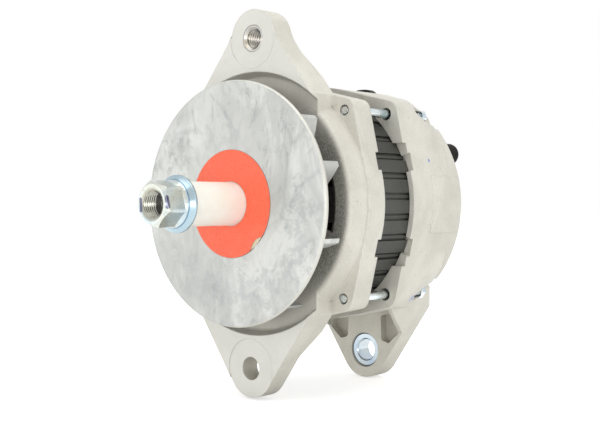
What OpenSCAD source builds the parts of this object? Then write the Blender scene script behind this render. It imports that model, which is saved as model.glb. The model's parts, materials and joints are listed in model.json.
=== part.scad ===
// Heavy-duty hinge-mount alternator for a truck or generator engine.
// The shaft runs along Y with the pulley end towards -Y. The origin is on the hinge bolt's
// axis, at the machined face of the front hinge ear. Every sub-part is drawn about the
// shaft, and on_shaft() lifts it to the shaft's height above the hinge.

/* [Mounting] */
// Distance from the hinge bolt's axis up to the shaft
hinge_drop = 92.075; // [90:0.5:98]
// Distance from the shaft up to the hole of the belt tension ear
tension_reach = 92.075; // [90:0.5:98]
// Bore for the hinge bolt, in the front ear and in the slip bushing
hinge_bore_d = 13; // [11:0.5:14]
// Thickness of the front hinge ear
hinge_ear_t = 12; // [10:0.5:14.5]
// Thickness of the belt tension ear
tension_ear_t = 14.5; // [12:0.5:17]
// Radius of the round end of each front ear
ear_eye_r = 16.3; // [15:0.1:17]
// Half width of the tension ear at its hole
ear_waist = 17.2; // [16.5:0.1:19]
// Half width of both front ears at the fan recess
ear_half = 43; // [40:0.5:44]
// Radius of the fillet between the tension ear's round end and its sides
ear_fillet_r = 26; // [15:1:30]
// How far the cast faces of the ears stand proud of their machined seats
seat_step = 0.5; // [0.3:0.1:1]
// Minor diameter of the thread in the tension ear
tension_thread_d = 10.2; // [8.5:0.1:11]
// Outside diameter of the threaded insert
insert_d = 15; // [14:0.5:17]
// Distance from the hinge seat to the rear hinge lug
rear_lug_y = 103; // [102:0.5:104]
// Thickness of the rear hinge lug
rear_lug_t = 13; // [11:0.5:15]
// Radius of the round end of the rear hinge lug
rear_eye_r = 17; // [16:0.1:18]
// Half width of the rear hinge lug where it leaves the casting
rear_lug_half = 40.5; // [36:0.5:41]
// Outside diameter of the slip bushing
bushing_d = 21.1; // [19:0.1:23]
// How deep the slip bushing sits in the rear lug
bushing_set = 1.8; // [1:0.1:3]
// Length of the slip bushing
bushing_l = 12; // [11:0.2:14]

/* [Castings] */
// Radius of the drive end frame's flange
flange_r = 68; // [67.5:0.5:70]
// Radius of the slip ring end frame
rear_r = 69; // [68:0.5:71]
// Depth of the fan recess behind the ears' faces
recess_depth = 6; // [5:0.5:7]
// Radius of the fan recess where it opens in the ears
recess_r = 73.5; // [72:0.5:75]
// Radius of the drive end frame's shoulder at its front edge
shoulder_r = 65.9; // [65:0.1:67]
// Rounding of the shoulder's front edge
shoulder_round = 3.2; // [2:0.1:4]
// Thickness of the drive end frame's front wall
front_wall = 4; // [3:0.5:5]
// Distance from the hinge seat to the flange
flange_y = 18.5; // [18:0.5:20]
// Thickness of the flange
flange_t = 14.5; // [13:0.5:16]
// Length of stator that shows between the two castings
stator_gap = 25.9; // [24:0.5:28]
// How deep the stator seats in each casting
stator_seat = 4; // [3:0.5:5]
// Step back of the slip ring end frame's rim between its bolt lugs
rim_step = 3; // [2:0.5:3.5]
// Length of the slip ring end frame's bolt lugs
bolt_lug_l = 35; // [33:0.5:38]
// Distance from the bolt lugs' rear ends to the back face
back_l = 18; // [16:0.5:20]
// Thickness of the back wall
back_wall = 4; // [3:0.5:5]
// Rounding of the back edge
back_round = 4; // [2:0.1:5]
// Radius of the circle that the through bolts lie on
bolt_circle_r = 72.1; // [71.5:0.1:73]
// Radius of each flange lug round its bolt
flange_lug_r = 6.6; // [6:0.1:7.5]
// Radius of each bolt lug on the slip ring end frame
rear_bolt_lug_r = 8; // [7.5:0.1:9]
// Through bolt diameter
bolt_d = 4.8; // [4:0.1:5]
// Clearance hole for the through bolts in the slip ring end frame
bolt_hole_d = 7; // [6.5:0.1:7.5]
// Width across the flats of the bolt heads
bolt_head_af = 8; // [7.5:0.1:8.5]
// Height of the bolt heads
bolt_head_h = 4.6; // [4:0.1:5]
// Half height of the flat pad on the side of the slip ring end frame
pad_half = 16.3; // [14:0.1:18]
// How far that pad stands out
pad_out = 0.8; // [0.5:0.1:2]

/* [Stator] */
// Outside radius of the laminations
core_r = 65.6; // [65:0.1:65.7]
// Bore radius of the laminations
core_bore_r = 48; // [48:0.05:48.5]
// Number of winding slots, and of grooves outside
slots = 36; // [24:6:42]
// Width of each winding slot
slot_w = 4.4; // [3.5:0.1:4.6]
// Depth of each winding slot
slot_deep = 12.2; // [10:0.1:12.5]
// Width of each outside groove
groove_w = 4.2; // [3:0.1:5]
// Depth of each outside groove
groove_deep = 1.7; // [1:0.1:2]
// Length of each winding crown beyond the core
crown_l = 15.5; // [12:0.5:16]

/* [Rotor] */
// Gap between the claw poles and the stator
air_gap = 0.45; // [0.35:0.05:0.8]
// Number of fingers on each pole half
fingers = 6; // [5:1:7]
// Length of the rotor over both pole halves
rotor_l = 58; // [55:0.5:59]
// Thickness of each pole half's end plate
plate_t = 13; // [11:0.5:14]
// Radius of each pole half's end plate
plate_r = 36; // [34:0.5:37]
// Finger width at its root
finger_root_w = 20; // [17:0.5:21]
// Finger width at its tip
finger_tip_w = 9; // [7:0.5:10]
// Radius of the pole core inside the coil
pole_core_r = 23; // [21:0.5:24]
// Thickness of the field coil
coil_t = 12; // [10:0.5:13]
// Diameter of the pulley seat on the shaft
shaft_d = 22.2; // [20:0.1:22.6]
// Diameter of the shaft's thread
thread_d = 15.9; // [14:0.1:16]
// Diameter of the shaft through the poles
pole_seat_d = 25.4; // [25.2:0.1:27]
// Diameter of the slip rings' seat
ring_seat_d = 19; // [18:0.1:20]
// Diameter of the rear journal
journal_d = 17; // [16:0.1:17.5]
// Width of each slip ring
ring_w = 5; // [4.8:0.1:5.5]

/* [Fan and pulley end] */
// Radius of the fan disc
fan_r = 67.7; // [67:0.1:69]
// Thickness of the fan disc
fan_t = 3.4; // [2.5:0.1:4]
// Distance from the hinge seat forward to the fan's front face
fan_front = 16.7; // [16:0.1:18]
// Gap between the blades' tips and the floor of the fan recess
blade_gap = 6.5; // [5.5:0.1:8]
// Thickness of each fan blade
blade_t = 2; // [1.5:0.1:3]
// Radius that each blade is curved to
blade_curve_r = 70; // [60:1:90]
// Lean of each blade at the fan's rim, from the radial line
blade_lean = 38; // [30:1:42]
// Radius of the round label on the fan
label_r = 29.7; // [25:0.1:33]
// Wall of the shipping sleeve
sleeve_wall = 0.7; // [0.6:0.1:1.5]
// Length of the shipping sleeve
sleeve_l = 37.3; // [30:0.1:42]
// Radius of the nut's flange
nut_flange_r = 15.2; // [14.5:0.1:17]
// Thickness of the nut's flange at its edge
nut_flange_t = 2.2; // [1.5:0.1:3]
// Width across the nut's flats
nut_af = 23.8; // [22:0.1:24]
// Overall height of the nut
nut_h = 19.5; // [17:0.1:21]
// How far the shaft's end stays inside the nut
nut_recess = 9.5; // [6:0.1:10]

/* [Bearings] */
// Front bearing outside diameter
bearing_d = 62; // [60:0.5:63]
// Front bearing bore
bearing_bore = 25; // [24.5:0.1:25]
// Front bearing width
bearing_w = 17; // [16:0.5:18]
// Number of balls
balls = 7; // [6:1:8]
// Rear bearing width
cup_w = 12; // [10:0.5:12.5]
// Rear bearing roller diameter
roller_d = 3; // [2.6:0.1:3.2]
// Number of rollers
rollers = 14; // [12:1:15]

/* [Electrical end] */
// Diameter of the output stud
stud_d = 6; // [5:0.5:6.5]
// How far the output stud stands out of its nut
stud_out = 12; // [8:0.5:16]
// How far the output stud lies to the left of the shaft
stud_left = 8; // [6:0.5:10]
// Height of the output stud above the shaft
stud_up = 60.5; // [59:0.5:61.5]
// Radius of the black cap on the small terminal
cap_r = 6.5; // [6:0.1:7]
// Length of the black cap
cap_l = 12; // [10:0.5:14]
// Diameter of the rectifier's diodes
diode_d = 12.6; // [11:0.1:13]
// Length of each brush when new
brush_l = 16; // [13:0.5:17]
// Travel left behind each brush in its box
brush_travel = 6; // [4:0.5:7]

/* [Hidden] */
$fn = 96;

fit = 0.05;           // clearance of a static fit, all round
running = 0.06;       // clearance of the slip bushing in its lug
air = 0.3;            // clearance between parts that turn past each other
sliding = 0.1;        // clearance of a brush in its box
chamfer = 0.6;        // chamfer of machined edges
lap = 1;              // how far a cut runs past the face that it opens
trim = 0.01;          // how far a line that leaves an arc starts inside it

// Places along the shaft, from the pulley end to the slip ring end
back_y = flange_y + flange_t;
core_y0 = back_y - stator_seat;
rim_y = back_y + stator_gap;
lug_y = rim_y - rim_step;
core_y1 = rim_y + stator_seat - 1;
lug_end_y = lug_y + bolt_lug_l;
rear_y = lug_end_y + back_l;
wall_y = rear_y - back_wall;
floor_y = recess_depth;
inner_y = floor_y + front_wall;
mid_y = (core_y0 + core_y1) / 2;
rotor_y0 = mid_y - rotor_l / 2;
rotor_y1 = mid_y + rotor_l / 2;
fan_y0 = -fan_front;
fan_y1 = fan_y0 + fan_t;
blade_y1 = floor_y - blade_gap;
nut_y1 = fan_y0 - sleeve_l;
nut_y0 = nut_y1 - nut_h;
shaft_y0 = nut_y0 + nut_recess;

// Castings
shoulder_top = flange_r - 0.4;
seat_bore_r = core_r + fit;
cavity_r = core_r - 3;
back_cavity_r = cavity_r - 3;
seat_r = ear_eye_r + 0.4;
ear_root = [ear_half, sqrt(pow(recess_r, 2) - pow(ear_half, 2))];
web_top = 84;
web_foot = 70;
notch_angle = 20.3;
notch_w = 10;
notch_deep = 2.7;
rim_angle = 30;
scoop_r = 6.5;
seat_y = lug_end_y - 5;
lug_out_r = bolt_circle_r + rear_bolt_lug_r + lap;
lug_top_y = rear_y - 12;
lug_top_r = bolt_circle_r - 0.4;
bolt_set = 0.3;
rear_lug_root = [rear_lug_half, 62.5];
gusset_y = 77;
gusset_tip = 79;
gusset_t = 2.4;
lug_foot = 50;
pocket_deep = 6;
pocket_corner_r = 2.5;
// Corner centres of the pocket, from the axis of the hinge bolt
pocket_corners = [[15.2, 20.6], [15.6, 9.3], [18.3, 8.5], [24.2, 13.9], [22, 22]];

// Front bearing and the hub that holds it
bearing_y1 = inner_y;
bearing_y0 = bearing_y1 - bearing_w;
bearing_mid = (bearing_y0 + bearing_y1) / 2;
ball_circle_r = (bearing_bore + bearing_d) / 4;
ball_r = 0.29 * (bearing_d - bearing_bore) / 2;
race_in_r = ball_circle_r - 3.5;
race_out_r = ball_circle_r + 3.5;
seal_t = 1;
hub_r = bearing_d / 2 + 7;
hub_y0 = bearing_y0 - 2.5;
retainer_t = 2.5;
retainer_circle_r = bearing_d / 2 + 3.6;
retainer_angles = [30, 150, 270];
screw_d = 4;
screw_head_r = 3.5;
screw_head_h = 2.6;
screw_l = 10;

// Front vents, between the hub and the fan blades' roots and the shoulder
vents = 6;
vent_in_r = hub_r + 2.5;
vent_out_r = 55.5;
vent_angle = 32;

// Fan
blade_in_r = hub_r + 2.5;
blade_out_r = fan_r - 1.5;
// Unequal spacing of the blades keeps the fan quiet
blade_angles = [19, 44.5, 80, 112, 147, 179, 211, 243, 273, 304.7, 343.7];
sleeve_r = shaft_d / 2 + fit + sleeve_wall;
label_t = 0.25;
collar_r = 17;
shaft_shoulder_r = 15;
nut_bore_r = thread_d / 2 + fit;

// Stator
slot_tip = 1.6;
slot_mouth = 2.4;
core_phase = -1;
crown_in_r = core_bore_r + 1.8;
crown_out_r = cavity_r - 1.3;
crown_base = 5;
bundle_gap = 1.2;

// Rotor
pole_r = core_bore_r - air_gap;
finger_l = rotor_l - 4;
finger_foot_r = plate_r - 3;
finger_in_root = plate_r + 2;
finger_in_tip = pole_r - 3.5;
bobbin_wall = 1.5;
bobbin_r = pole_core_r + fit + bobbin_wall;
coil_r = bobbin_r + coil_t - 0.5;
ring_bore_r = ring_seat_d / 2 + fit;
insulator_r = ring_bore_r + 1.5;
ring_r = insulator_r + fit + 1;
rings_y0 = rotor_y1 + 4;
ring_pitch = ring_w + 2;
ring_a = rings_y0 + ring_w / 2;
ring_b = ring_a + ring_pitch;
rings_y1 = ring_b + ring_w / 2;

// Rear bearing and its hub
cup_y1 = rear_y - 1.5;
cup_y0 = cup_y1 - cup_w;
roller_gap = 0.2;
roller_circle_r = journal_d / 2 + roller_d / 2 + roller_gap;
track_r = roller_circle_r + roller_d / 2 + roller_gap;
cup_r = track_r + 2.1;
rear_hub_r = cup_r + 4;
rear_hub_y0 = cup_y0 - 1;
rear_hub_y1 = rear_y + 3;
rear_vent_in_r = rear_hub_r + 4;
rear_vent_out_r = 43;
rear_vent_angle = 30;

// Brushes, below the shaft
brush_w = 4.4;
brush_d = 4.8;
box_wall = 1.6;
brush_top = ring_r + air;
brush_end = brush_top + brush_l;
spring_end = brush_end + brush_travel + 4;
box_top = ring_r + 2.2;
box_end = spring_end + 3;
box_half = brush_d / 2 + sliding + box_wall;
box_y0 = ring_a - brush_w / 2 - sliding - 1;
box_y1 = ring_b + brush_w / 2 + sliding + 1;
box_foot_half = 12;
box_foot_t = 4;
box_foot_h = 10;
box_screw_x = 8;

// Rectifier, in the upper half of the slip ring end frame
sink_y0 = core_y1 + crown_l + 5;
sink_y1 = sink_y0 + 5;
sink_in_r = 26;
sink_out_r = back_cavity_r - 0.8;
sink_from = 12;
sink_to = 168;
sink_screw_angles = [18, 162];
sink_screw_r = sink_out_r - 5;
sink_washer_t = 1.5;
boss_r = 5;
positive_angles = [38, 66, 124];
negative_angles = [56, 84, 142];
positive_r = 47;
negative_r = back_cavity_r - 7.2;
diode_l = 8;
diode_boss_r = diode_d / 2 + 2;
negative_y0 = rear_y - 9;
lead_r = 1.2;
lead_l = 4;
strap_y0 = negative_y0 - lead_l - 2;

// Terminals
stud_at = [-stud_left, stud_up];
stud_ear_r = 5;
stud_head_h = 3;
bush_r = stud_d / 2 + 1.4;
block_t = 13;
block_sink = 4;
nut_pocket_r = 7;
stud_nut_af = 10;
stud_nut_h = 5;
sense_at = [53, 30];
sense_d = 4;
sense_l = 8;
sense_head_r = 3.2;

// Regulator and capacitor, in the lower half
regulator_l = 14;
tab_t = 3;
regulator_screws = [[-45, -20], [-28, -44]];
capacitor_at = [21.6, -40.6];
capacitor_r = 8;
capacitor_l = 24;
bracket_t = 1.5;
bracket_h = 10;
bracket_screw = [36.5, -34.5];

// Position helpers

module on_shaft() translate([0, 0, hinge_drop]) children();

// An outline drawn across X and up Z, made solid from y0 to y1
module slab(y0, y1) translate([0, y1, 0]) rotate([90, 0, 0]) linear_extrude(y1 - y0) children();

// An outline drawn along Y and up Z, made solid from x0 to x1
module crosswise(x0, x1) translate([x0, 0, 0]) rotate([90, 0, 90])
    linear_extrude(x1 - x0) children();

// A profile of [radius, distance along Y], turned about the shaft
module turned() rotate([-90, 0, 0]) rotate_extrude() children();

module rod(y0, y1, r) translate([0, y0, 0]) rotate([-90, 0, 0]) cylinder(h = y1 - y0, r = r);

module tube(y0, y1, r_in, r_out) turned() translate([r_in, y0]) square([r_out - r_in, y1 - y0]);

module cone(y0, y1, r0, r1) translate([0, y0, 0]) rotate([-90, 0, 0])
    cylinder(h = y1 - y0, r1 = r0, r2 = r1);

// Turns by an angle measured from +X towards +Z
module spin(a) rotate([0, -a, 0]) children();

// Moves to a place [x, z] beside the shaft
module beside(p) translate([p[0], 0, p[1]]) children();

module at_bolts() for (a = [45 : 90 : 315]) spin(a) translate([bolt_circle_r, 0, 0]) children();

// Outlines

function unit(v) = v / norm(v);
function polar(r, a) = r * [cos(a), sin(a)];

// The point where a line from p touches a circle round c, a trace inside the circle
function touch(c, r, p) = let (d = norm(p - c), a = atan2(p[1] - c[1], p[0] - c[0]))
    c + polar(r - trim, a + acos((r - trim) / d));

module hexagon(af) circle(af / 2 / cos(30), $fn = 6);

module annulus(r_in, r_out) difference() {
    circle(r_out);
    circle(r_in);
}

module sector(r, a0, a1) polygon(concat([[0, 0]],
    [for (i = [0 : 4]) polar(r / cos((a1 - a0) / 8), a0 + (a1 - a0) * i / 4)]));

// A window between two radii, centred on +X
module window(r_in, r_out, angle) intersection() {
    annulus(r_in, r_out);
    sector(r_out, -angle / 2, angle / 2);
}

// Strip with round ends
module link(p, q, w) {
    side = (w / 2 - trim) * [-unit(q - p)[1], unit(q - p)[0]];
    for (c = [p, q]) translate(c) circle(w / 2);
    polygon([p + side, p - side, q - side, q + side]);
}

// Convex outline with round corners; the corners' centres run anticlockwise
module rounded(centres, r) {
    n = len(centres);
    function out(i) = let (d = unit(centres[(i + 1) % n] - centres[i]))
        (r - trim) * [d[1], -d[0]];
    for (c = centres) translate(c) circle(r);
    polygon([for (i = [0 : n - 1]) each
        [centres[i] + out((i + n - 1) % n), centres[i] + out(i)]]);
}

// Round body with four bolt lugs, joined by lines that touch both circles
module lugged(body_r, lug_r) {
    swing = acos((body_r - lug_r) / bolt_circle_r);
    circle(body_r);
    for (a = [45 : 90 : 315]) rotate(a) {
        translate([bolt_circle_r, 0]) circle(lug_r);
        polygon([[0, 0], polar(body_r - trim, -swing),
            [bolt_circle_r, 0] + polar(lug_r - trim, -swing),
            [bolt_circle_r, 0] + polar(lug_r - trim, swing), polar(body_r - trim, swing)]);
    }
}

// Ear whose straight sides touch its round end
module plain_ear(reach, eye_r, root, foot) {
    translate([0, reach]) circle(eye_r);
    for (m = [0, 1]) mirror([m, 0])
        polygon([[0, reach], touch([0, reach], eye_r, root), root, [root[0], foot], [0, foot]]);
}

// Ear whose straight sides meet its round end in a hollow fillet
module waisted_ear() {
    eye = [0, tension_reach];
    along = unit(ear_root - [ear_waist, tension_reach]);
    out = [-along[1], along[0]];
    inset = (eye - ear_root) * out;
    run = sqrt(pow(ear_eye_r + ear_fillet_r, 2) - pow(ear_fillet_r - inset, 2));
    centre = eye + (ear_fillet_r - inset) * out + run * along;
    on_side = centre - ear_fillet_r * out;
    translate(eye) circle(ear_eye_r);
    for (m = [0, 1]) mirror([m, 0]) {
        polygon([eye, on_side, ear_root, [ear_half, 0], [0, 0]]);
        difference() {
            polygon([eye, centre, on_side]);
            translate(centre) circle(ear_fillet_r);
        }
    }
}

// Drive end frame

module hinge_ear() mirror([0, 1]) plain_ear(hinge_drop, ear_eye_r, ear_root, 0);

// The root of an ear, which thickens down to the flange
module ear_web(ear_t) intersection() {
    slab(0, flange_y + lap) children();
    crosswise(-ear_half - lap, ear_half + lap) polygon([[0, -web_top], [ear_t, -web_top],
        [flange_y + lap, -web_foot], [flange_y + lap, web_foot], [ear_t, web_top],
        [0, web_top]]);
}

module shoulder() turned() {
    corner = [shoulder_r - shoulder_round, floor_y + shoulder_round];
    polygon([[0, floor_y], [corner[0], floor_y], corner, [shoulder_r, corner[1]],
        [shoulder_top, flange_y], [shoulder_top, flange_y + lap], [0, flange_y + lap]]);
    translate(corner) circle(shoulder_round);
}

// The recess that the fan blades reach towards, with a sloping wall
module fan_recess() turned() {
    corner = [recess_r - 4, floor_y - 2];
    polygon([[0, -floor_y], [recess_r + 2, -floor_y], [recess_r - 2, floor_y - 2], corner,
        [corner[0], floor_y], [0, floor_y]]);
    translate(corner) circle(2);
}

module drive_end_frame() color("gainsboro") on_shaft() difference() {
    union() {
        difference() {
            union() {
                shoulder();
                slab(flange_y, back_y) lugged(flange_r, flange_lug_r);
                slab(-seat_step, tension_ear_t) waisted_ear();
                slab(-seat_step, hinge_ear_t) hinge_ear();
                ear_web(tension_ear_t) waisted_ear();
                ear_web(hinge_ear_t) hinge_ear();
            }
            fan_recess();
        }
        rod(hub_y0, inner_y, hub_r);
    }
    turned() polygon([[0, inner_y], [cavity_r - 3, inner_y], [cavity_r, inner_y + 3],
        [cavity_r, core_y0], [seat_bore_r, core_y0], [seat_bore_r, back_y + lap],
        [0, back_y + lap]]);
    rod(bearing_y0, inner_y + lap, bearing_d / 2 + fit);
    rod(hub_y0 - lap, inner_y, race_out_r + 0.5);
    slab(floor_y - lap, inner_y + lap) for (i = [0 : vents - 1])
        rotate(360 / vents * i) window(vent_in_r, vent_out_r, vent_angle);
    witness_line();
    rim_notches(back_y - notch_deep, back_y + lap);
    at_bolts() {
        rod(flange_y - lap, back_y + lap, bolt_d / 2 + fit);
        cone(flange_y, flange_y + chamfer, bolt_d / 2 + fit + chamfer,
            bolt_d / 2 + fit);
    }
    for (a = retainer_angles) spin(a) translate([retainer_circle_r, 0, 0])
        rod(inner_y + retainer_t - screw_l, inner_y + lap, screw_d / 2 + fit);
    beside([0, tension_reach]) {
        rod(-seat_step - lap, tension_ear_t + lap, insert_d / 2 + fit);
        rod(-seat_step - lap, 0, seat_r);
    }
    beside([0, -hinge_drop]) {
        rod(-seat_step - lap, hinge_ear_t + lap, hinge_bore_d / 2);
        rod(-seat_step - lap, 0, seat_r);
    }
}

// Shallow groove round the shoulder, just in front of the flange
module witness_line() turned() polygon([[shoulder_top - 0.4, flange_y - 0.4],
    [shoulder_top + 1, flange_y - 1], [shoulder_top + 1, flange_y - 0.1]]);

// Notches in a casting's rim, for levering the frames apart
module rim_notches(y0, y1) for (side = [0, 180], a = [-notch_angle, notch_angle])
    spin(side + a) translate([cavity_r + 1, y0, -notch_w / 2]) cube([12, y1 - y0, notch_w]);

module tension_insert() color("lightsteelblue") on_shaft() beside([0, tension_reach])
    difference() {
        rod(0, tension_ear_t, insert_d / 2);
        rod(-lap, tension_ear_t + lap, tension_thread_d / 2);
        cone(0, 1.5, tension_thread_d / 2 + 1.5, tension_thread_d / 2);
    }

// Slip ring end frame

module hinge_lug() mirror([0, 1])
    plain_ear(hinge_drop, rear_eye_r, rear_lug_root, lug_foot);

// Rib under one side of the casting, flush with the slanted side of the hinge lug
module gusset() {
    tip = touch([0, hinge_drop], rear_eye_r, rear_lug_root);
    along = unit(tip - rear_lug_root);
    inward = gusset_t * [-along[1], along[0]];
    mirror([0, 1]) polygon([[rear_lug_half, lug_foot], rear_lug_root, tip, tip + inward,
        rear_lug_root + inward, [rear_lug_half - gusset_t, lug_foot]]);
}

module gussets() intersection() {
    slab(gusset_y, rear_lug_y + lap) for (m = [0, 1]) mirror([m, 0]) gusset();
    crosswise(-rear_lug_half - lap, rear_lug_half + lap) polygon([[gusset_y, -lug_foot],
        [gusset_y, -rear_lug_root[1]], [rear_lug_y, -gusset_tip],
        [rear_lug_y + lap, -gusset_tip], [rear_lug_y + lap, -lug_foot]]);
}

// Lightening pocket in the front of the hinge lug, beside its eye
module lug_pocket() translate([0, -hinge_drop]) rounded(pocket_corners, pocket_corner_r);

module drum() turned() {
    corner = [rear_r - back_round, rear_y - back_round];
    polygon([[0, lug_y], [rear_r, lug_y], [rear_r, corner[1]], corner,
        [corner[0], rear_y], [0, rear_y]]);
    translate(corner) circle(back_round);
}

// Lugs for the through bolts, which grow lower towards the rear
module bolt_lugs() intersection() {
    slab(lug_y, lug_top_y) lugged(rear_r - trim, rear_bolt_lug_r);
    turned() polygon([[0, lug_y - lap], [lug_out_r, lug_y - lap], [lug_out_r, rim_y],
        [lug_top_r, lug_top_y + lap], [0, lug_top_y + lap]]);
}

// Low pad on the right side of the drum
module side_pad() intersection() {
    turned() polygon([[rear_r - 2 * lap, gusset_y], [rear_r + pad_out, gusset_y],
        [rear_r + pad_out, rear_y - back_round], [rear_r - 2 * lap, rear_y - back_round]]);
    translate([rear_r / 2, gusset_y - lap, -pad_half])
        cube([rear_r, rear_y - gusset_y + lap, 2 * pad_half]);
}

module slip_ring_end_frame() color("silver") on_shaft() difference() {
    union() {
        difference() {
            union() {
                bolt_lugs();
                drum();
                side_pad();
                slab(rear_lug_y, rear_lug_y + rear_lug_t) hinge_lug();
                gussets();
            }
            rear_cavity();
            at_bolts() rod(seat_y, rear_y + lap, scoop_r);
            slab(wall_y - lap, rear_y + lap) for (a = [0 : 45 : 180])
                rotate(a) window(rear_vent_in_r, rear_vent_out_r, rear_vent_angle);
        }
        rod(rear_hub_y0, rear_hub_y1, rear_hub_r);
        rectifier_bosses();
    }
    rod(rear_hub_y0 - lap, cup_y1, cup_r + fit);
    rod(cup_y1 - lap, cup_y1 + chamfer + 1, journal_d / 2 + chamfer);
    for (a = [0 : 90 : 270]) spin(a)
        translate([0, lug_y - lap, -rear_r * sin(rim_angle)])
            cube([rear_r + lap, rim_step + lap, 2 * rear_r * sin(rim_angle)]);
    rim_notches(lug_y - lap, rim_y + notch_deep);
    at_bolts() rod(lug_y - lap, seat_y + lap, bolt_hole_d / 2);
    for (a = negative_angles) spin(a) translate([negative_r, 0, 0])
        rod(negative_y0 - lap, rear_y + lap, diode_d / 2 + fit);
    for (a = sink_screw_angles) spin(a) translate([sink_screw_r, 0, 0])
        rod(sink_y1, sink_y0 + 14, screw_d / 2 + fit);
    for (p = frame_screw_places) beside(p) rod(wall_y - lap, rear_y - 1, screw_d / 2 + fit);
    beside(stud_at) rod(wall_y - lap, rear_y + lap, bush_r + fit);
    beside(sense_at) rod(wall_y - lap, rear_y + lap, sense_d / 2 + fit);
    for (m = [0, 1]) mirror([m, 0, 0]) slab(rear_lug_y - lap, rear_lug_y + pocket_deep)
        lug_pocket();
    beside([0, -hinge_drop]) {
        rod(rear_lug_y - lap, rear_lug_y + rear_lug_t + lap, bushing_d / 2 + running);
        cone(rear_lug_y, rear_lug_y + chamfer, bushing_d / 2 + running + chamfer,
            bushing_d / 2 + running);
    }
}

module rear_cavity() {
    turned() polygon([[0, lug_y - lap], [seat_bore_r, lug_y - lap], [seat_bore_r, core_y1],
        [cavity_r, core_y1], [cavity_r, lug_end_y - 4], [back_cavity_r, lug_end_y],
        [back_cavity_r, wall_y], [0, wall_y]]);
    beside(stud_at) rod(core_y1 + crown_l, wall_y, stud_ear_r + 0.6);
    beside(sense_at) rod(lug_end_y, wall_y, sense_head_r + 1);
}

module rectifier_bosses() {
    for (a = sink_screw_angles) spin(a) translate([sink_screw_r, 0, 0])
        rod(sink_y1 + sink_washer_t, wall_y + lap, boss_r);
    for (a = negative_angles) spin(a) translate([negative_r, 0, 0])
        rod(negative_y0, rear_y, diode_boss_r);
}

module slip_bushing() color("lightsteelblue") on_shaft() beside([0, -hinge_drop])
    tube(rear_lug_y + bushing_set, rear_lug_y + bushing_set + bushing_l, hinge_bore_d / 2,
        bushing_d / 2);

module through_bolts() color("lightsteelblue") on_shaft() at_bolts() {
    rod(flange_y + bolt_set, seat_y + lap, bolt_d / 2);
    rod(seat_y, seat_y + 1.2, bolt_head_af / 2 + 1.5);
    slab(seat_y + 1, seat_y + bolt_head_h) hexagon(bolt_head_af);
}

// Stator

module every_slot() for (i = [0 : slots - 1]) rotate(360 / slots * i + core_phase) children();

// Outside groove with a low bar along its middle
module groove() for (m = [0, 1]) mirror([0, m]) {
    translate([core_r - groove_deep, groove_w / 5])
        square([groove_deep + lap, groove_w * 3 / 10]);
    translate([core_r - groove_deep / 2, -lap]) square([groove_deep + lap, groove_w / 5 + lap]);
}

module stator_core() color("dimgray") on_shaft() slab(core_y0, core_y1) difference() {
    annulus(core_bore_r, core_r);
    every_slot() {
        translate([core_bore_r + slot_tip, -slot_w / 2])
            square([slot_deep - slot_tip, slot_w]);
        translate([core_bore_r - lap, -slot_mouth / 2])
            square([slot_tip + 2 * lap, slot_mouth]);
        rotate(180 / slots) groove();
    }
}

module stator_winding() color("peru") on_shaft() {
    slab(core_y0 - lap, core_y1 + lap) every_slot()
        translate([core_bore_r + slot_tip + 0.4, fit - slot_w / 2])
            square([slot_deep - slot_tip - 0.8, slot_w - 2 * fit]);
    for (y = [core_y0 - crown_base, core_y1]) tube(y, y + crown_base, crown_in_r, crown_out_r);
    for (y = [core_y0 - crown_l, core_y1 + crown_base - lap])
        slab(y, y + crown_l - crown_base + lap) difference() {
            annulus(crown_in_r, crown_out_r);
            every_slot() translate([crown_in_r + 2, -bundle_gap / 2])
                square([crown_out_r, bundle_gap]);
        }
}

// Front bearing

module ball_track() turned() translate([ball_circle_r, bearing_mid]) circle(ball_r + air);

module bearing_outer_race() color("lightgray") on_shaft() difference() {
    tube(bearing_y0, bearing_y1, race_out_r, bearing_d / 2);
    ball_track();
}

module bearing_inner_race() color("lightgray") on_shaft() difference() {
    tube(bearing_y0, bearing_y1, bearing_bore / 2, race_in_r);
    ball_track();
}

module at_balls() for (i = [0 : balls - 1]) spin(360 / balls * i) children();

module bearing_balls() color("white") on_shaft() at_balls()
    translate([ball_circle_r, bearing_mid, 0]) sphere(ball_r);

module bearing_cage() color("goldenrod") on_shaft() difference() {
    tube(bearing_mid - ball_r - 1.2, bearing_mid + ball_r + 1.2, ball_circle_r - 1.2,
        ball_circle_r + 1.2);
    at_balls() translate([race_in_r, bearing_mid, 0]) rotate([0, 90, 0])
        cylinder(h = race_out_r - race_in_r, r = ball_r + sliding);
}

module bearing_seals() color("black") on_shaft()
    for (y = [bearing_y0, bearing_y1 - seal_t])
        tube(y, y + seal_t, race_in_r + air, race_out_r - fit);

module bearing_retainer() color("lightsteelblue") on_shaft() difference() {
    tube(inner_y, inner_y + retainer_t, race_in_r + 2, hub_r);
    for (a = retainer_angles) spin(a) translate([retainer_circle_r, 0, 0])
        rod(inner_y - lap, inner_y + retainer_t + lap, screw_d / 2 + fit);
}

// Pan head screw whose head sits on a face at y and whose shank runs by l along Y
module screw(y, l) {
    way = l > 0 ? 1 : -1;
    slab(min(y, y - way * screw_head_h), max(y, y - way * screw_head_h)) difference() {
        circle(screw_head_r);
        hexagon(2.5);
    }
    slab(min(y - way * 0.9, y + l), max(y - way * 0.9, y + l)) circle(screw_d / 2);
}

module retainer_screws() color("slategray") on_shaft() for (a = retainer_angles)
    spin(a) translate([retainer_circle_r, 0, 0]) screw(inner_y + retainer_t, fit - screw_l);

// Rear bearing

module at_rollers() for (i = [0 : rollers - 1])
    spin(360 / rollers * i) translate([roller_circle_r, 0, 0]) children();

module rear_bearing_cup() color("lightgray") on_shaft() tube(cup_y0, cup_y1, track_r, cup_r);

module rear_bearing_rollers() color("white") on_shaft()
    at_rollers() rod(cup_y0 + 1.6, cup_y1 - 1.6, roller_d / 2);

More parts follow.
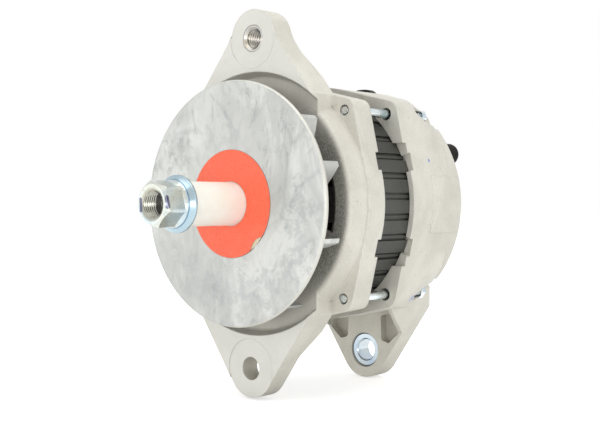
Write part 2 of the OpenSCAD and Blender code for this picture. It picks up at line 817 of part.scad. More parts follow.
module rear_bearing_cage() color("goldenrod") on_shaft() {
    for (y = [cup_y0 + 0.5, cup_y1 - 1.5])
        tube(y, y + 1, roller_circle_r - 0.9, roller_circle_r + 0.9);
    for (i = [0 : rollers - 1]) spin(360 / rollers * (i + 0.5))
        translate([roller_circle_r - 0.5, cup_y0 + 1, -0.5]) cube([1, cup_w - 2, 1]);
}

// Rotor

module rotor_shaft() color("silver") on_shaft() difference() {
    union() {
        rod(shaft_y0 + chamfer, nut_y1 + 1.5, thread_d / 2);
        cone(shaft_y0, shaft_y0 + chamfer, thread_d / 2 - chamfer, thread_d / 2);
        rod(nut_y1 + 1.5, bearing_y0, shaft_d / 2);
        rod(bearing_y0, bearing_y1, bearing_bore / 2 - fit);
        rod(bearing_y1, rotor_y0, shaft_shoulder_r);
        rod(rotor_y0, rotor_y1, pole_seat_d / 2);
        rod(rotor_y1, rings_y1 + 1, ring_seat_d / 2);
        rod(rings_y1 + 1, cup_y1, journal_d / 2);
        cone(cup_y1, cup_y1 + chamfer, journal_d / 2, journal_d / 2 - chamfer);
    }
    cone(shaft_y0, shaft_y0 + 3.5, 3.2, 1);
}

// One half of the claw-pole rotor, with its plate at y = 0 and its fingers towards +Y
module pole_half() difference() {
    union() {
        rod(0, plate_t, plate_r);
        rod(0, rotor_l / 2, pole_core_r);
        intersection() {
            turned() polygon([[finger_foot_r, 0], [pole_r - 1, 0], [pole_r, 1],
                [pole_r, finger_l], [finger_in_tip, finger_l], [finger_in_root, plate_t],
                [finger_foot_r, plate_t]]);
            for (i = [0 : fingers - 1]) spin(360 / fingers * i) crosswise(0, pole_r + lap)
                polygon([[-lap, -finger_root_w / 2], [finger_l + lap, -finger_tip_w / 2],
                    [finger_l + lap, finger_tip_w / 2], [-lap, finger_root_w / 2]]);
        }
    }
    rod(-lap, rotor_l, pole_seat_d / 2 + fit);
}

module front_pole_half() color("slategray") on_shaft() translate([0, rotor_y0, 0]) pole_half();

module rear_pole_half() color("slategray") on_shaft() translate([0, rotor_y1, 0])
    spin(180 / fingers) mirror([0, 1, 0]) pole_half();

module coil_bobbin() color("ivory") on_shaft() {
    length = rotor_l - 2 * plate_t - 0.4;
    tube(mid_y - length / 2, mid_y + length / 2, pole_core_r + fit, bobbin_r);
    for (y = [mid_y - length / 2, mid_y + length / 2 - 1.2])
        tube(y, y + 1.2, pole_core_r + fit, min(coil_r + 0.5, plate_r + 1.4));
}

module field_coil() color("chocolate") on_shaft() {
    half = rotor_l / 2 - plate_t - 1.5;
    tube(mid_y - half, mid_y + half, bobbin_r + fit, coil_r);
}

module ring_insulator() color("saddlebrown") on_shaft()
    tube(rotor_y1, rings_y1 + 1, ring_bore_r, insulator_r);

module slip_rings() color("orange") on_shaft() for (y = [ring_a, ring_b])
    tube(y - ring_w / 2, y + ring_w / 2, insulator_r + fit, ring_r);

// Fan, label, sleeve and nut

module fan_collar() color("slategray") on_shaft()
    tube(fan_y1, bearing_y0, shaft_d / 2 + fit, collar_r);

// A curved blade whose outer end lies on +X
module blade() {
    tip = [blade_out_r, 0];
    centre = tip + polar(blade_curve_r, 90 + blade_lean);
    intersection() {
        translate(centre) annulus(blade_curve_r - blade_t / 2, blade_curve_r + blade_t / 2);
        annulus(blade_in_r, blade_out_r);
        sector(blade_out_r + lap, -40, 8);
    }
}

module fan() color("lightgray") on_shaft() {
    difference() {
        turned() {
            edge = fan_t / 2;
            translate([0, fan_y0]) square([fan_r - edge, fan_t]);
            translate([fan_r - edge, fan_y0 + edge]) circle(edge);
        }
        rod(fan_y0 - lap, fan_y1 + lap, shaft_d / 2 + fit);
    }
    slab(fan_y1 - lap, blade_y1) for (a = blade_angles) rotate(a) blade();
}

module fan_label() color("tomato") on_shaft()
    tube(fan_y0 - label_t, fan_y0, sleeve_r + air, label_r);

module shipping_sleeve() color("ivory") on_shaft()
    tube(nut_y1, fan_y0, shaft_d / 2 + fit, sleeve_r);

module shaft_nut() color("lightsteelblue") on_shaft() difference() {
    union() {
        rod(nut_y1 - nut_flange_t, nut_y1, nut_flange_r);
        cone(nut_y1 - nut_flange_t - 2.6, nut_y1 - nut_flange_t, nut_af / 2,
            nut_flange_r - 0.6);
        intersection() {
            slab(nut_y0, nut_y1 - lap) hexagon(nut_af);
            turned() polygon([[0, nut_y0], [nut_af / 2 - 0.8, nut_y0],
                [nut_flange_r + lap, nut_y0 + 2.2], [nut_flange_r + lap, nut_y1], [0, nut_y1]]);
        }
    }
    rod(nut_y0 - lap, nut_y1 + lap, nut_bore_r);
    cone(nut_y0, nut_y0 + 1.2, nut_bore_r + 1, nut_bore_r);
}

// Brushes

module brush_box() color("dimgray") on_shaft() difference() {
    union() {
        translate([-box_half, box_y0, -box_end]) cube([2 * box_half, box_y1 - box_y0,
            box_end - box_top]);
        translate([-box_half, box_y0, -box_end]) cube([2 * box_half, wall_y - box_y0,
            box_foot_h]);
        translate([-box_foot_half, wall_y - box_foot_t, -box_end])
            cube([2 * box_foot_half, box_foot_t, box_foot_h]);
    }
    for (y = [ring_a, ring_b])
        translate([-brush_d / 2 - sliding, y - brush_w / 2 - sliding, -spring_end])
            cube([brush_d + 2 * sliding, brush_w + 2 * sliding, spring_end]);
    for (p = box_screw_places) beside(p)
        rod(wall_y - box_foot_t - lap, wall_y + lap, screw_d / 2 + fit);
}

module brush(y) color("black") on_shaft() difference() {
    translate([-brush_d / 2, y - brush_w / 2, -brush_end])
        cube([brush_d, brush_w, brush_l + 1]);
    rod(y - brush_w, y + brush_w, brush_top);
}

module front_brush() brush(ring_a);
module rear_brush() brush(ring_b);

// Brush spring, drawn as a pleated sleeve that shortens along Z
module brush_spring(y) color("lightgray") on_shaft() translate([0, y, -spring_end])
    rotate_extrude() {
        turns = 6;
        pitch = (spring_end - brush_end) / turns;
        for (i = [0 : turns - 1]) translate([0, pitch * i]) polygon([[0.9, 0], [1.3, 0],
            [1.9, pitch / 2], [1.3, pitch], [0.9, pitch], [1.5, pitch / 2]]);
    }

module front_brush_spring() brush_spring(ring_a);
module rear_brush_spring() brush_spring(ring_b);

// Rectifier

module at_sink_screws() for (a = sink_screw_angles) spin(a)
    translate([sink_screw_r, 0, 0]) children();

module positive_heat_sink() color("silver") on_shaft() difference() {
    slab(sink_y0, sink_y1) {
        intersection() {
            annulus(sink_in_r, sink_out_r);
            sector(sink_out_r, sink_from, sink_to);
        }
        link(unit(stud_at) * positive_r, stud_at, 2 * stud_ear_r);
    }
    for (a = positive_angles) spin(a) translate([positive_r, 0, 0])
        rod(sink_y0 - lap, sink_y1 + lap, diode_d / 2 + fit);
    at_sink_screws() rod(sink_y0 - lap, sink_y1 + lap, screw_d / 2 + 0.6);
    for (i = [0 : 2]) beside(lead_place(i)) rod(sink_y0 - lap, sink_y1 + lap, lead_r + 0.6);
    beside(stud_at) rod(sink_y0 - lap, sink_y1 + lap, stud_d / 2 + fit);
}

module heat_sink_washers() color("ivory") on_shaft() at_sink_screws()
    tube(sink_y1, sink_y1 + sink_washer_t, screw_d / 2 + fit, boss_r);

module heat_sink_screws() color("slategray") on_shaft() at_sink_screws()
    screw(sink_y0, 14 - fit);

module positive_diodes() color("gray") on_shaft() for (a = positive_angles) spin(a)
    translate([positive_r, 0, 0]) {
        rod(sink_y0 - 2, sink_y0 - 2 + diode_l, diode_d / 2);
        rod(sink_y0 - 2 + diode_l - lap, strap_y0, lead_r);
    }

module negative_diodes() color("gray") on_shaft() for (a = negative_angles) spin(a)
    translate([negative_r, 0, 0]) {
        rod(negative_y0, negative_y0 + diode_l, diode_d / 2);
        rod(strap_y0 + 2, negative_y0 + lap, lead_r);
    }

// Where the lead of each stator phase passes the positive heat sink
function lead_place(i) = 0.38 * polar(positive_r, positive_angles[i])
    + 0.62 * polar(negative_r, negative_angles[i]);

module phase_leads() color("peru") on_shaft() for (i = [0 : 2]) {
    beside(lead_place(i)) rod(core_y1 + crown_l, strap_y0 + lap, lead_r);
    slab(strap_y0, strap_y0 + 2)
        link(polar(positive_r, positive_angles[i]), polar(negative_r, negative_angles[i]), 4);
}

// Regulator, capacitor and the screws that hold them

box_screw_places = [for (s = [-1, 1]) [s * box_screw_x, box_foot_h / 2 - box_end]];
frame_screw_places = concat(box_screw_places, regulator_screws, [bracket_screw]);

module regulator() color("black") on_shaft() {
    slab(wall_y - regulator_l, wall_y) rounded([[-38, -36], [-21, -36], [-21, -16],
        [-38, -16]], 2.5);
    slab(wall_y - regulator_l - 2, wall_y) rounded([[-35, -32], [-24, -32], [-24, -20],
        [-35, -20]], 1.5);
    slab(wall_y - tab_t, wall_y) difference() {
        for (p = regulator_screws) link(p, [-29, -26], 9);
        for (p = regulator_screws) translate(p) circle(screw_d / 2 + fit);
    }
}

module capacitor() color("lightgray") on_shaft() beside(capacitor_at) {
    rod(wall_y - capacitor_l, wall_y, capacitor_r);
    rod(wall_y - capacitor_l - 2, wall_y - lap, capacitor_r - 2);
}

module capacitor_bracket() color("lightsteelblue") on_shaft() {
    slab(wall_y - bracket_t, wall_y) difference() {
        link(capacitor_at, bracket_screw, 2 * boss_r);
        translate(capacitor_at) circle(capacitor_r + fit);
        translate(bracket_screw) circle(screw_d / 2 + fit);
    }
    beside(capacitor_at)
        tube(wall_y - bracket_h, wall_y, capacitor_r + fit, capacitor_r + 1.2);
}

module end_frame_screws() color("slategray") on_shaft() {
    for (p = box_screw_places) beside(p)
        screw(wall_y - box_foot_t, box_foot_t + back_wall - 1 - fit);
    for (p = regulator_screws) beside(p) screw(wall_y - tab_t, tab_t + back_wall - 1 - fit);
    beside(bracket_screw) screw(wall_y - bracket_t, bracket_t + back_wall - 1 - fit);
}

// Terminals

module output_stud() color("lightsteelblue") on_shaft() beside(stud_at) {
    rod(sink_y0 - stud_head_h, sink_y0, stud_d / 2 + 1.6);
    rod(sink_y0 - lap, rear_y + block_sink + stud_nut_h + stud_out, stud_d / 2);
}

module output_insulator() color("black") on_shaft() difference() {
    union() {
        slab(rear_y, rear_y + block_t) rounded([for (s = [[-1, -1], [1, -1], [1, 1], [-1, 1]])
            stud_at + [6.5 * s[0], 3.5 + 6.5 * s[1]]], 3);
        beside(stud_at) rod(sink_y1, rear_y + lap, bush_r);
    }
    beside(stud_at) {
        rod(sink_y1 - lap, rear_y + block_t + lap, stud_d / 2 + fit);
        rod(rear_y + block_sink, rear_y + block_t + lap, nut_pocket_r);
    }
}

module output_nut() color("lightsteelblue") on_shaft() beside(stud_at) difference() {
    slab(rear_y + block_sink, rear_y + block_sink + stud_nut_h) hexagon(stud_nut_af);
    rod(rear_y, rear_y + block_sink + stud_nut_h + lap, stud_d / 2 + fit);
}

module sense_stud() color("lightsteelblue") on_shaft() beside(sense_at) {
    rod(wall_y - 3, wall_y, sense_head_r);
    rod(wall_y - lap, rear_y + sense_l, sense_d / 2);
}

// Domed cap pushed over the small terminal
module terminal_cap() color("black") on_shaft() beside(sense_at) difference() {
    turned() {
        dome = cap_r - 2;
        translate([0, rear_y]) square([cap_r, cap_l - dome]);
        translate([0, rear_y]) square([cap_r - dome, cap_l]);
        intersection() {
            translate([cap_r - dome, rear_y + cap_l - dome]) circle(dome);
            translate([0, rear_y]) square([cap_r, cap_l]);
        }
    }
    rod(rear_y - lap, rear_y + sense_l + 0.5, sense_d / 2 + fit);
}

drive_end_frame();
slip_ring_end_frame();
tension_insert();
slip_bushing();
through_bolts();
stator_core();
stator_winding();
bearing_outer_race();
bearing_inner_race();
bearing_balls();
bearing_cage();
bearing_seals();
bearing_retainer();
retainer_screws();
rear_bearing_cup();
rear_bearing_rollers();
rear_bearing_cage();
rotor_shaft();
front_pole_half();
rear_pole_half();
field_coil();
coil_bobbin();
ring_insulator();
slip_rings();
fan_collar();
fan();
fan_label();
shipping_sleeve();
shaft_nut();
brush_box();
front_brush();
rear_brush();
front_brush_spring();
rear_brush_spring();
positive_heat_sink();
heat_sink_washers();
heat_sink_screws();
positive_diodes();
negative_diodes();
phase_leads();
regulator();
capacitor();
capacitor_bracket();
end_frame_screws();
output_stud();
output_insulator();
output_nut();
sense_stud();
terminal_cap();
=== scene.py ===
import json
import math

import bpy
import bmesh
from mathutils import Matrix, Vector, noise


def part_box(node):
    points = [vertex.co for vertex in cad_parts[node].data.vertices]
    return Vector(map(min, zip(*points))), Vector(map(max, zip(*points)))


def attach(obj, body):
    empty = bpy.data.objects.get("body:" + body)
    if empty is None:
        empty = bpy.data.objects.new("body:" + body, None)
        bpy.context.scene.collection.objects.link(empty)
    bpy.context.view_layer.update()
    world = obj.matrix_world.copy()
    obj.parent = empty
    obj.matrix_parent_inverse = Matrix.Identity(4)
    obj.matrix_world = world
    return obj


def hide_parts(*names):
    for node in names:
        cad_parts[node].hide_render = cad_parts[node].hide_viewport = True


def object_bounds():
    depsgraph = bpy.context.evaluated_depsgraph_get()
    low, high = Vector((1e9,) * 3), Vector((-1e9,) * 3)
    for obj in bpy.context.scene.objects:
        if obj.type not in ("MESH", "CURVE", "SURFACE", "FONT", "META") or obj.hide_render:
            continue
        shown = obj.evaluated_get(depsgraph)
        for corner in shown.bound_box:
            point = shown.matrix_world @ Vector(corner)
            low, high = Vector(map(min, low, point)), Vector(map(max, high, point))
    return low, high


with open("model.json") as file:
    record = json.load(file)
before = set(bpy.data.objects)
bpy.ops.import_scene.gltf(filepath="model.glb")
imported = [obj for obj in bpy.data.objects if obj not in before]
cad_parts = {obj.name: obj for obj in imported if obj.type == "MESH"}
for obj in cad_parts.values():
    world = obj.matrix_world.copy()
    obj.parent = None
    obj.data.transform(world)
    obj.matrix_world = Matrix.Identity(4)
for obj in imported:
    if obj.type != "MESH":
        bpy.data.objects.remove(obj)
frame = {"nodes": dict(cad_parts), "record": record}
cad_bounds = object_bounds()
nodes = frame["nodes"]

MM = 0.001
TURN = 2 * math.pi


# Places that the frame gives

def round_room(node):
    """A round part's axis as x and z, its radius, its front and its rear."""
    low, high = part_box(node)
    axis = ((low[0] + high[0]) / 2, (low[2] + high[2]) / 2)
    return axis, (high[0] - low[0]) / 2, low[1], high[1]


SHAFT_Z = round_room("shaft_nut")[0][1]
FAN_RADIUS, FAN_FRONT = round_room("fan")[1:3]
FLOOR_Z = cad_bounds[0][2]
SHAFT_AXIS = Vector((0, 0, SHAFT_Z))


# Camera

AZIMUTH = math.radians(41.19)
ELEVATION = math.radians(0.79)
ROLL = math.radians(0.32)
LENS = 65.70
CAMERA_PLACE = Vector((0.42252, -0.44185, SHAFT_Z + 0.00481))


def make_camera():
    data = bpy.data.cameras.new("photo_camera")
    data.sensor_width = 36.0
    data.lens = LENS
    data.clip_start = 0.01
    camera = bpy.data.objects.new("photo_camera", data)
    bpy.context.scene.collection.objects.link(camera)
    bpy.context.scene.camera = camera
    back = Vector((math.sin(AZIMUTH) * math.cos(ELEVATION),
                   -math.cos(AZIMUTH) * math.cos(ELEVATION), math.sin(ELEVATION)))
    level = Vector((math.cos(AZIMUTH), math.sin(AZIMUTH), 0))
    upright = back.cross(level)
    right = math.cos(ROLL) * level + math.sin(ROLL) * upright
    up = -math.sin(ROLL) * level + math.cos(ROLL) * upright
    turn = Matrix((right, up, back)).transposed()
    camera.matrix_world = Matrix.Translation(CAMERA_PLACE) @ turn.to_4x4()


# Colours and the nodes that every finish is wired from

def tint(red, green, blue):
    """A colour as a screen shows it, 0 to 255, in the linear values that nodes take."""
    def linear(value):
        share = value / 255
        return share / 12.92 if share <= 0.04045 else ((share + 0.055) / 1.055) ** 2.4
    return (linear(red), linear(green), linear(blue), 1)


def feed(tree, socket, value):
    """Joins an output to the socket, or writes a plain value on it."""
    if isinstance(value, bpy.types.NodeSocket):
        tree.links.new(value, socket)
    else:
        socket.default_value = value


def calc(tree, operation, first, second=0.5, third=0.5, clamp=False):
    node = tree.nodes.new("ShaderNodeMath")
    node.operation = operation
    node.use_clamp = clamp
    for socket, value in zip(node.inputs, (first, second, third)):
        feed(tree, socket, value)
    return node.outputs[0]


def times(tree, first, second):
    return calc(tree, "MULTIPLY", first, second)


def plus(tree, first, second):
    return calc(tree, "ADD", first, second)


def minus(tree, first, second):
    return calc(tree, "SUBTRACT", first, second)


def across(tree, operation, first, second=(0, 0, 0)):
    """Vector sums. A length or dot product comes out as a value, the rest as a vector."""
    node = tree.nodes.new("ShaderNodeVectorMath")
    node.operation = operation
    feed(tree, node.inputs[0], first)
    feed(tree, node.inputs[1], second)
    return node.outputs["Value" if operation in ("LENGTH", "DOT_PRODUCT") else "Vector"]


def lengthened(tree, vector, amount):
    node = tree.nodes.new("ShaderNodeVectorMath")
    node.operation = "SCALE"
    feed(tree, node.inputs[0], vector)
    feed(tree, node.inputs["Scale"], amount)
    return node.outputs[0]


def remap(tree, value, low, high, out_low=0.0, out_high=1.0):
    node = tree.nodes.new("ShaderNodeMapRange")
    node.interpolation_type = "SMOOTHSTEP"
    for socket, number in zip(node.inputs, (value, low, high, out_low, out_high)):
        feed(tree, socket, number)
    return node.outputs[0]


def blend_colour(tree, share, first, second):
    node = tree.nodes.new("ShaderNodeMix")
    node.data_type = "RGBA"
    for place, value in ((0, share), (6, first), (7, second)):
        feed(tree, node.inputs[place], value)
    return node.outputs[2]


def laid_on(tree, colour, *layers):
    """The colour under further layers, each a mask, the share it covers, and a colour."""
    for mask, share, over in layers:
        colour = blend_colour(tree, times(tree, mask, share), colour, over)
    return colour


def own_place(tree):
    """Where a point lies in the part, so that a finish stays on it as it moves."""
    return tree.nodes.new("ShaderNodeTexCoord").outputs["Object"]


def apart(tree, vector):
    node = tree.nodes.new("ShaderNodeSeparateXYZ")
    feed(tree, node.inputs[0], vector)
    return node.outputs


def from_shaft(tree, where):
    """Distance from the shaft's axis."""
    offset = across(tree, "SUBTRACT", where, tuple(SHAFT_AXIS))
    return across(tree, "LENGTH", across(tree, "MULTIPLY", offset, (1, 0, 1)))


def drawn_out(tree, where, scale, turn=(0, 0, 0)):
    """The same place, stretched or squeezed along its axes and turned."""
    node = tree.nodes.new("ShaderNodeMapping")
    feed(tree, node.inputs["Vector"], where)
    node.inputs["Rotation"].default_value = turn
    node.inputs["Scale"].default_value = scale
    return node.outputs[0]


def noise_at(tree, where, scale, detail, roughness, distortion):
    node = tree.nodes.new("ShaderNodeTexNoise")
    for label, value in (("Vector", where), ("Scale", scale), ("Detail", detail),
                         ("Roughness", roughness), ("Distortion", distortion)):
        feed(tree, node.inputs[label], value)
    return node.outputs


def cloud(tree, where, scale, detail=2.0, roughness=0.5, distortion=0.0):
    return noise_at(tree, where, scale, detail, roughness, distortion)[0]


def astray(tree, where, scale, reach):
    """The same place, led astray by a noise, so that a straight mark wavers."""
    shift = across(tree, "SUBTRACT", noise_at(tree, where, scale, 3.0, 0.5, 0.0)["Color"],
                   (0.5, 0.5, 0.5))
    return across(tree, "ADD", where, lengthened(tree, shift, reach))


def hairlines(tree, where, scale, width, detail=1.0):
    """Thin wandering lines: the places where a slow noise passes its middle value."""
    slow = cloud(tree, where, scale, detail)
    return remap(tree, calc(tree, "ABSOLUTE", minus(tree, slow, 0.5)), 0.0, width, 1.0, 0.0)


def each_step(tree, value):
    """A number for each whole step of the value, with no order from one to the next."""
    node = tree.nodes.new("ShaderNodeTexWhiteNoise")
    node.noise_dimensions = "1D"
    feed(tree, node.inputs["W"], calc(tree, "FLOOR", value))
    return node.outputs["Value"]


def new_group(name, takes, gives):
    """A shared effect. Takes are (name, kind, value), gives are (name, kind)."""
    group = bpy.data.node_groups.new(name, "ShaderNodeTree")
    for label, kind, value in takes:
        socket = group.interface.new_socket(name=label, in_out="INPUT",
                                            socket_type="NodeSocket" + kind)
        socket.default_value = value
    for label, kind in gives:
        group.interface.new_socket(name=label, in_out="OUTPUT",
                                   socket_type="NodeSocket" + kind)
    taken = group.nodes.new("NodeGroupInput").outputs
    given = group.nodes.new("NodeGroupOutput").inputs
    return group, taken, given


def give(group, given, *values):
    """Feeds what a shared effect puts out, in order, and returns the effect."""
    for socket, value in zip(given, values):
        feed(group, socket, value)
    return group


def use(tree, group, **values):
    """Places a shared effect in a material, with its own values. Where a socket's name has
    a space, the value's name has a line: grain_size sets Grain Size."""
    node = tree.nodes.new("ShaderNodeGroup")
    node.node_tree = group
    for label, value in values.items():
        feed(tree, node.inputs[label.replace("_", " ").title()], value)
    return node.outputs


# Shared effects

SKIN_GIVES = [("Colour", "Color"), ("Roughness", "Float"), ("Height", "Float")]
GRAIN_GIVES = [("Height", "Float"), ("Tone", "Float")]


def make_cast_skin():
    """Bare sand casting: fine grain, slow cloudy tone and a few small pits."""
    group, taken, given = new_group("cast_skin", [
        ("Light", "Color", tint(220, 217, 207)), ("Dark", "Color", tint(196, 193, 182)),
        ("Grain Size", "Float", 0.9 * MM)], SKIN_GIVES)
    where = own_place(group)
    scale = calc(group, "DIVIDE", 1.0, taken["Grain Size"])
    grain = cloud(group, where, scale, 3.0, 0.62)
    coarse = cloud(group, where, times(group, scale, 0.28), 2.0, 0.55)
    tone = cloud(group, where, 34.0, 5.0, 0.6, 0.6)
    share = plus(group, times(group, remap(group, tone, 0.3, 0.72), 0.62),
                 times(group, remap(group, grain, 0.35, 0.7), 0.38))
    pits = remap(group, cloud(group, where, times(group, scale, 0.55), 1.0), 0.72, 0.79)
    colour = laid_on(group, blend_colour(group, share, taken["Dark"], taken["Light"]),
                     (pits, 0.45, tint(150, 146, 136)))
    roughness = remap(group, grain, 0.3, 0.7, 0.52, 0.68)
    height = plus(group, times(group, grain, 0.7), times(group, coarse, 0.6))
    return give(group, given, colour, roughness, minus(group, height,
                                                       times(group, pits, 0.9)))


def make_soft_edge():
    """Edges rounded by the mould or the tumbler: a softer normal, and a mask along them."""
    group, taken, given = new_group("soft_edge", [("Radius", "Float", 0.6 * MM)],
                                    [("Normal", "Vector"), ("Edge", "Float")])
    bevel = group.nodes.new("ShaderNodeBevel")
    bevel.samples = 4
    feed(group, bevel.inputs["Radius"], taken["Radius"])
    flat = group.nodes.new("ShaderNodeNewGeometry").outputs["Normal"]
    along = across(group, "DOT_PRODUCT", bevel.outputs[0], flat)
    return give(group, given, bevel.outputs[0], remap(group, along, 0.99, 0.86))


def make_hollow_shade_and_dust():
    """Mask of hollows, where a surface is closed in, for settled dust and painted shade.
    Openness is the open share of the sky over a point at which the mask begins."""
    group, taken, given = new_group("hollow_shade_and_dust", [
        ("Reach", "Float", 8 * MM), ("Openness", "Float", 0.6)], [("Mask", "Float")])
    hollow = group.nodes.new("ShaderNodeAmbientOcclusion")
    hollow.samples = 6
    feed(group, hollow.inputs["Distance"], taken["Reach"])
    breakup = cloud(group, own_place(group), 260.0, 3.0, 0.6)
    open_share = plus(group, hollow.outputs["AO"],
                      times(group, minus(group, breakup, 0.5), 0.25))
    return give(group, given, remap(group, open_share, taken["Openness"],
                                    minus(group, taken["Openness"], 0.5)))


def make_handled_sheet():
    """Pressed sheet after handling: clouds, marbled smudges, flecks and hairlines."""
    group, taken, given = new_group("handled_sheet", [
        ("Light", "Color", tint(210, 211, 206)), ("Middle", "Color", tint(186, 187, 183)),
        ("Dark", "Color", tint(150, 153, 152))], SKIN_GIVES)
    where = own_place(group)
    clouds, patches, marbling, flecks = (
        cloud(group, drawn_out(group, where, scale, (0, turn, 0)), *texture)
        for scale, turn, texture in (
            ((1.0, 1.0, 0.55), 0.35, (26.0, 6.0, 0.6, 1.3)),
            ((1.2, 1.0, 0.75), -0.5, (19.0, 3.0, 0.6, 1.4)),
            ((1.0, 1.0, 0.5), -0.35, (95.0, 9.0, 0.72, 2.2)),
            ((1.0, 1.0, 0.55), 0.6, (330.0, 4.0, 0.7, 1.0))))
    handled = remap(group, patches, 0.44, 0.62)
    smudged = times(group, plus(group, handled, 0.3), remap(group, marbling, 0.48, 0.66))
    flecked = times(group, remap(group, flecks, 0.6, 0.72), handled)
    streaks = drawn_out(group, where, (1.0, 1.0, 0.35), (0, 0.5, 0))
    lines = times(group, hairlines(group, streaks, 60.0, 0.004),
                  remap(group, cloud(group, where, 30.0, 1.0), 0.55, 0.68))
    colour = blend_colour(group, remap(group, clouds, 0.4, 0.62), taken["Middle"],
                          taken["Light"])
    colour = laid_on(group, colour, (smudged, 0.46, taken["Dark"]),
                     (flecked, 0.55, tint(126, 131, 135)), (lines, 0.3, tint(150, 153, 152)))
    roughness = plus(group, remap(group, clouds, 0.3, 0.7, 0.38, 0.5),
                     times(group, smudged, 0.16))
    height = minus(group, cloud(group, where, 900.0, 2.0), times(group, lines, 0.5))
    return give(group, given, colour, roughness, height)


def make_rub_mark():
    """One soft streak, from a start to an end, broken up as a rub or a smear is."""
    group, taken, given = new_group("rub_mark", [
        ("Start", "Vector", (0, 0, 0)), ("End", "Vector", (0, 0, 0.01)),
        ("Width", "Float", 1 * MM), ("Ragged", "Float", 0.5)], [("Mask", "Float")])
    where = own_place(group)
    reach = times(group, taken["Width"], times(group, taken["Ragged"], 3.0))
    run = across(group, "SUBTRACT", taken["End"], taken["Start"])
    offset = across(group, "SUBTRACT", astray(group, where, 90.0, reach), taken["Start"])
    share = calc(group, "DIVIDE", across(group, "DOT_PRODUCT", offset, run),
                 across(group, "DOT_PRODUCT", run, run), clamp=True)
    away = across(group, "LENGTH", across(group, "SUBTRACT", offset,
                                          lengthened(group, run, share)))
    breakup = minus(group, cloud(group, where, 300.0, 5.0, 0.7, 1.0), 0.5)
    near = plus(group, calc(group, "DIVIDE", away, taken["Width"]),
                times(group, breakup, times(group, taken["Ragged"], 2.4)))
    return give(group, given, remap(group, near, 1.0, 0.0))


def make_turned_rings():
    """Fine rings of a lathe or a facing cut round the shaft's axis."""
    group, taken, given = new_group("turned_rings", [("Pitch", "Float", 0.35 * MM)],
                                    GRAIN_GIVES)
    where = own_place(group)
    run = plus(group, from_shaft(group, where), times(group, apart(group, where)[1], 0.83))
    turns = calc(group, "DIVIDE", run, taken["Pitch"])
    wave = calc(group, "SINE", times(group, turns, TURN))
    chatter = each_step(group, turns)
    height = plus(group, times(group, wave, 0.35), times(group, chatter, 0.5))
    tone = plus(group, times(group, chatter, 0.6),
                times(group, cloud(group, where, 120.0, 3.0), 0.4))
    return give(group, given, height, tone)


def make_sheet_stack():
    """The edges of thin sheets stacked along Y, each a little different from the next."""
    group, taken, given = new_group("sheet_stack", [("Sheet", "Float", 0.65 * MM)],
                                    GRAIN_GIVES)
    where = own_place(group)
    layers = plus(group, calc(group, "DIVIDE", apart(group, where)[1], taken["Sheet"]),
                  times(group, cloud(group, where, 45.0, 1.0), 0.25))
    inside = calc(group, "FRACT", layers)
    face = times(group, remap(group, inside, 0.0, 0.22), remap(group, inside, 1.0, 0.78))
    each = each_step(group, layers)
    height = plus(group, times(group, face, 0.7), times(group, each, 0.3))
    tone = plus(group, times(group, face, 0.5), times(group, each, 0.5))
    return give(group, given, height, tone)


def make_zinc_film():
    """Passivated zinc: pale blue that drifts to straw and back, over a bright plate."""
    group, taken, given = new_group("zinc_film", [
        ("Plain", "Color", tint(205, 211, 213)), ("Cool", "Color", tint(176, 200, 212)),
        ("Warm", "Color", tint(208, 205, 190)), ("Drift", "Float", 50.0)], SKIN_GIVES)
    where = own_place(group)
    turned = drawn_out(group, where, (1, 1, 1), (0.7, 0.4, 1.1))
    slow = cloud(group, where, taken["Drift"], 1.5, 0.4, 0.5)
    other = cloud(group, turned, taken["Drift"], 1.5, 0.4, 0.4)
    fine = cloud(group, where, 1500.0, 3.0, 0.6)
    dull = remap(group, cloud(group, where, 520.0, 5.0, 0.65), 0.5, 0.75)
    colour = blend_colour(group, remap(group, slow, 0.36, 0.68), taken["Plain"],
                          taken["Cool"])
    colour = blend_colour(group, remap(group, other, 0.5, 0.78), colour, taken["Warm"])
    colour = laid_on(group, colour, (dull, 0.2, tint(146, 152, 158)))
    roughness = plus(group, times(group, dull, 0.14), times(group, fine, 0.06))
    return give(group, given, colour, roughness, fine)


def make_moulded_grain():
    """Spark-eroded grain of a plastic mould, with a little polish where it is touched."""
    group, taken, given = new_group("moulded_grain", [("Grain Size", "Float", 0.5 * MM)],
                                    GRAIN_GIVES)
    where = own_place(group)
    scale = calc(group, "DIVIDE", 1.0, taken["Grain Size"])
    tone = remap(group, cloud(group, where, 70.0, 4.0, 0.6), 0.35, 0.68)
    return give(group, given, cloud(group, where, scale, 2.0, 0.6), tone)


def make_wound_wire():
    """Rows of enamelled wire wound side by side round an axis along Y."""
    group, taken, given = new_group("wound_wire", [("Wire", "Float", 0.9 * MM)], GRAIN_GIVES)
    where = own_place(group)
    rows = calc(group, "DIVIDE", apart(group, where)[1], taken["Wire"])
    swing = minus(group, calc(group, "FRACT", rows), 0.5)
    round_top = calc(group, "SQRT", minus(group, 0.26, times(group, swing, swing)))
    return give(group, given, times(group, round_top, 1.9), cloud(group, where, 160.0, 3.0))


CAST_SKIN = make_cast_skin()
SOFT_EDGE = make_soft_edge()
HOLLOW_SHADE_AND_DUST = make_hollow_shade_and_dust()
HANDLED_SHEET = make_handled_sheet()
RUB_MARK = make_rub_mark()
TURNED_RINGS = make_turned_rings()
SHEET_STACK = make_sheet_stack()
ZINC_FILM = make_zinc_film()
MOULDED_GRAIN = make_moulded_grain()
WOUND_WIRE = make_wound_wire()


# Materials

def fresh(name):
    """A new material, its node tree, and its shader."""
    material = bpy.data.materials.new(name)
    material.use_nodes = True
    tree = material.node_tree
    return material, tree, tree.nodes["Principled BSDF"]


def wire_up(tree, shader, colour, roughness, metallic=0.0):
    feed(tree, shader.inputs["Base Color"], colour)
    feed(tree, shader.inputs["Roughness"], roughness)
    shader.inputs["Metallic"].default_value = metallic


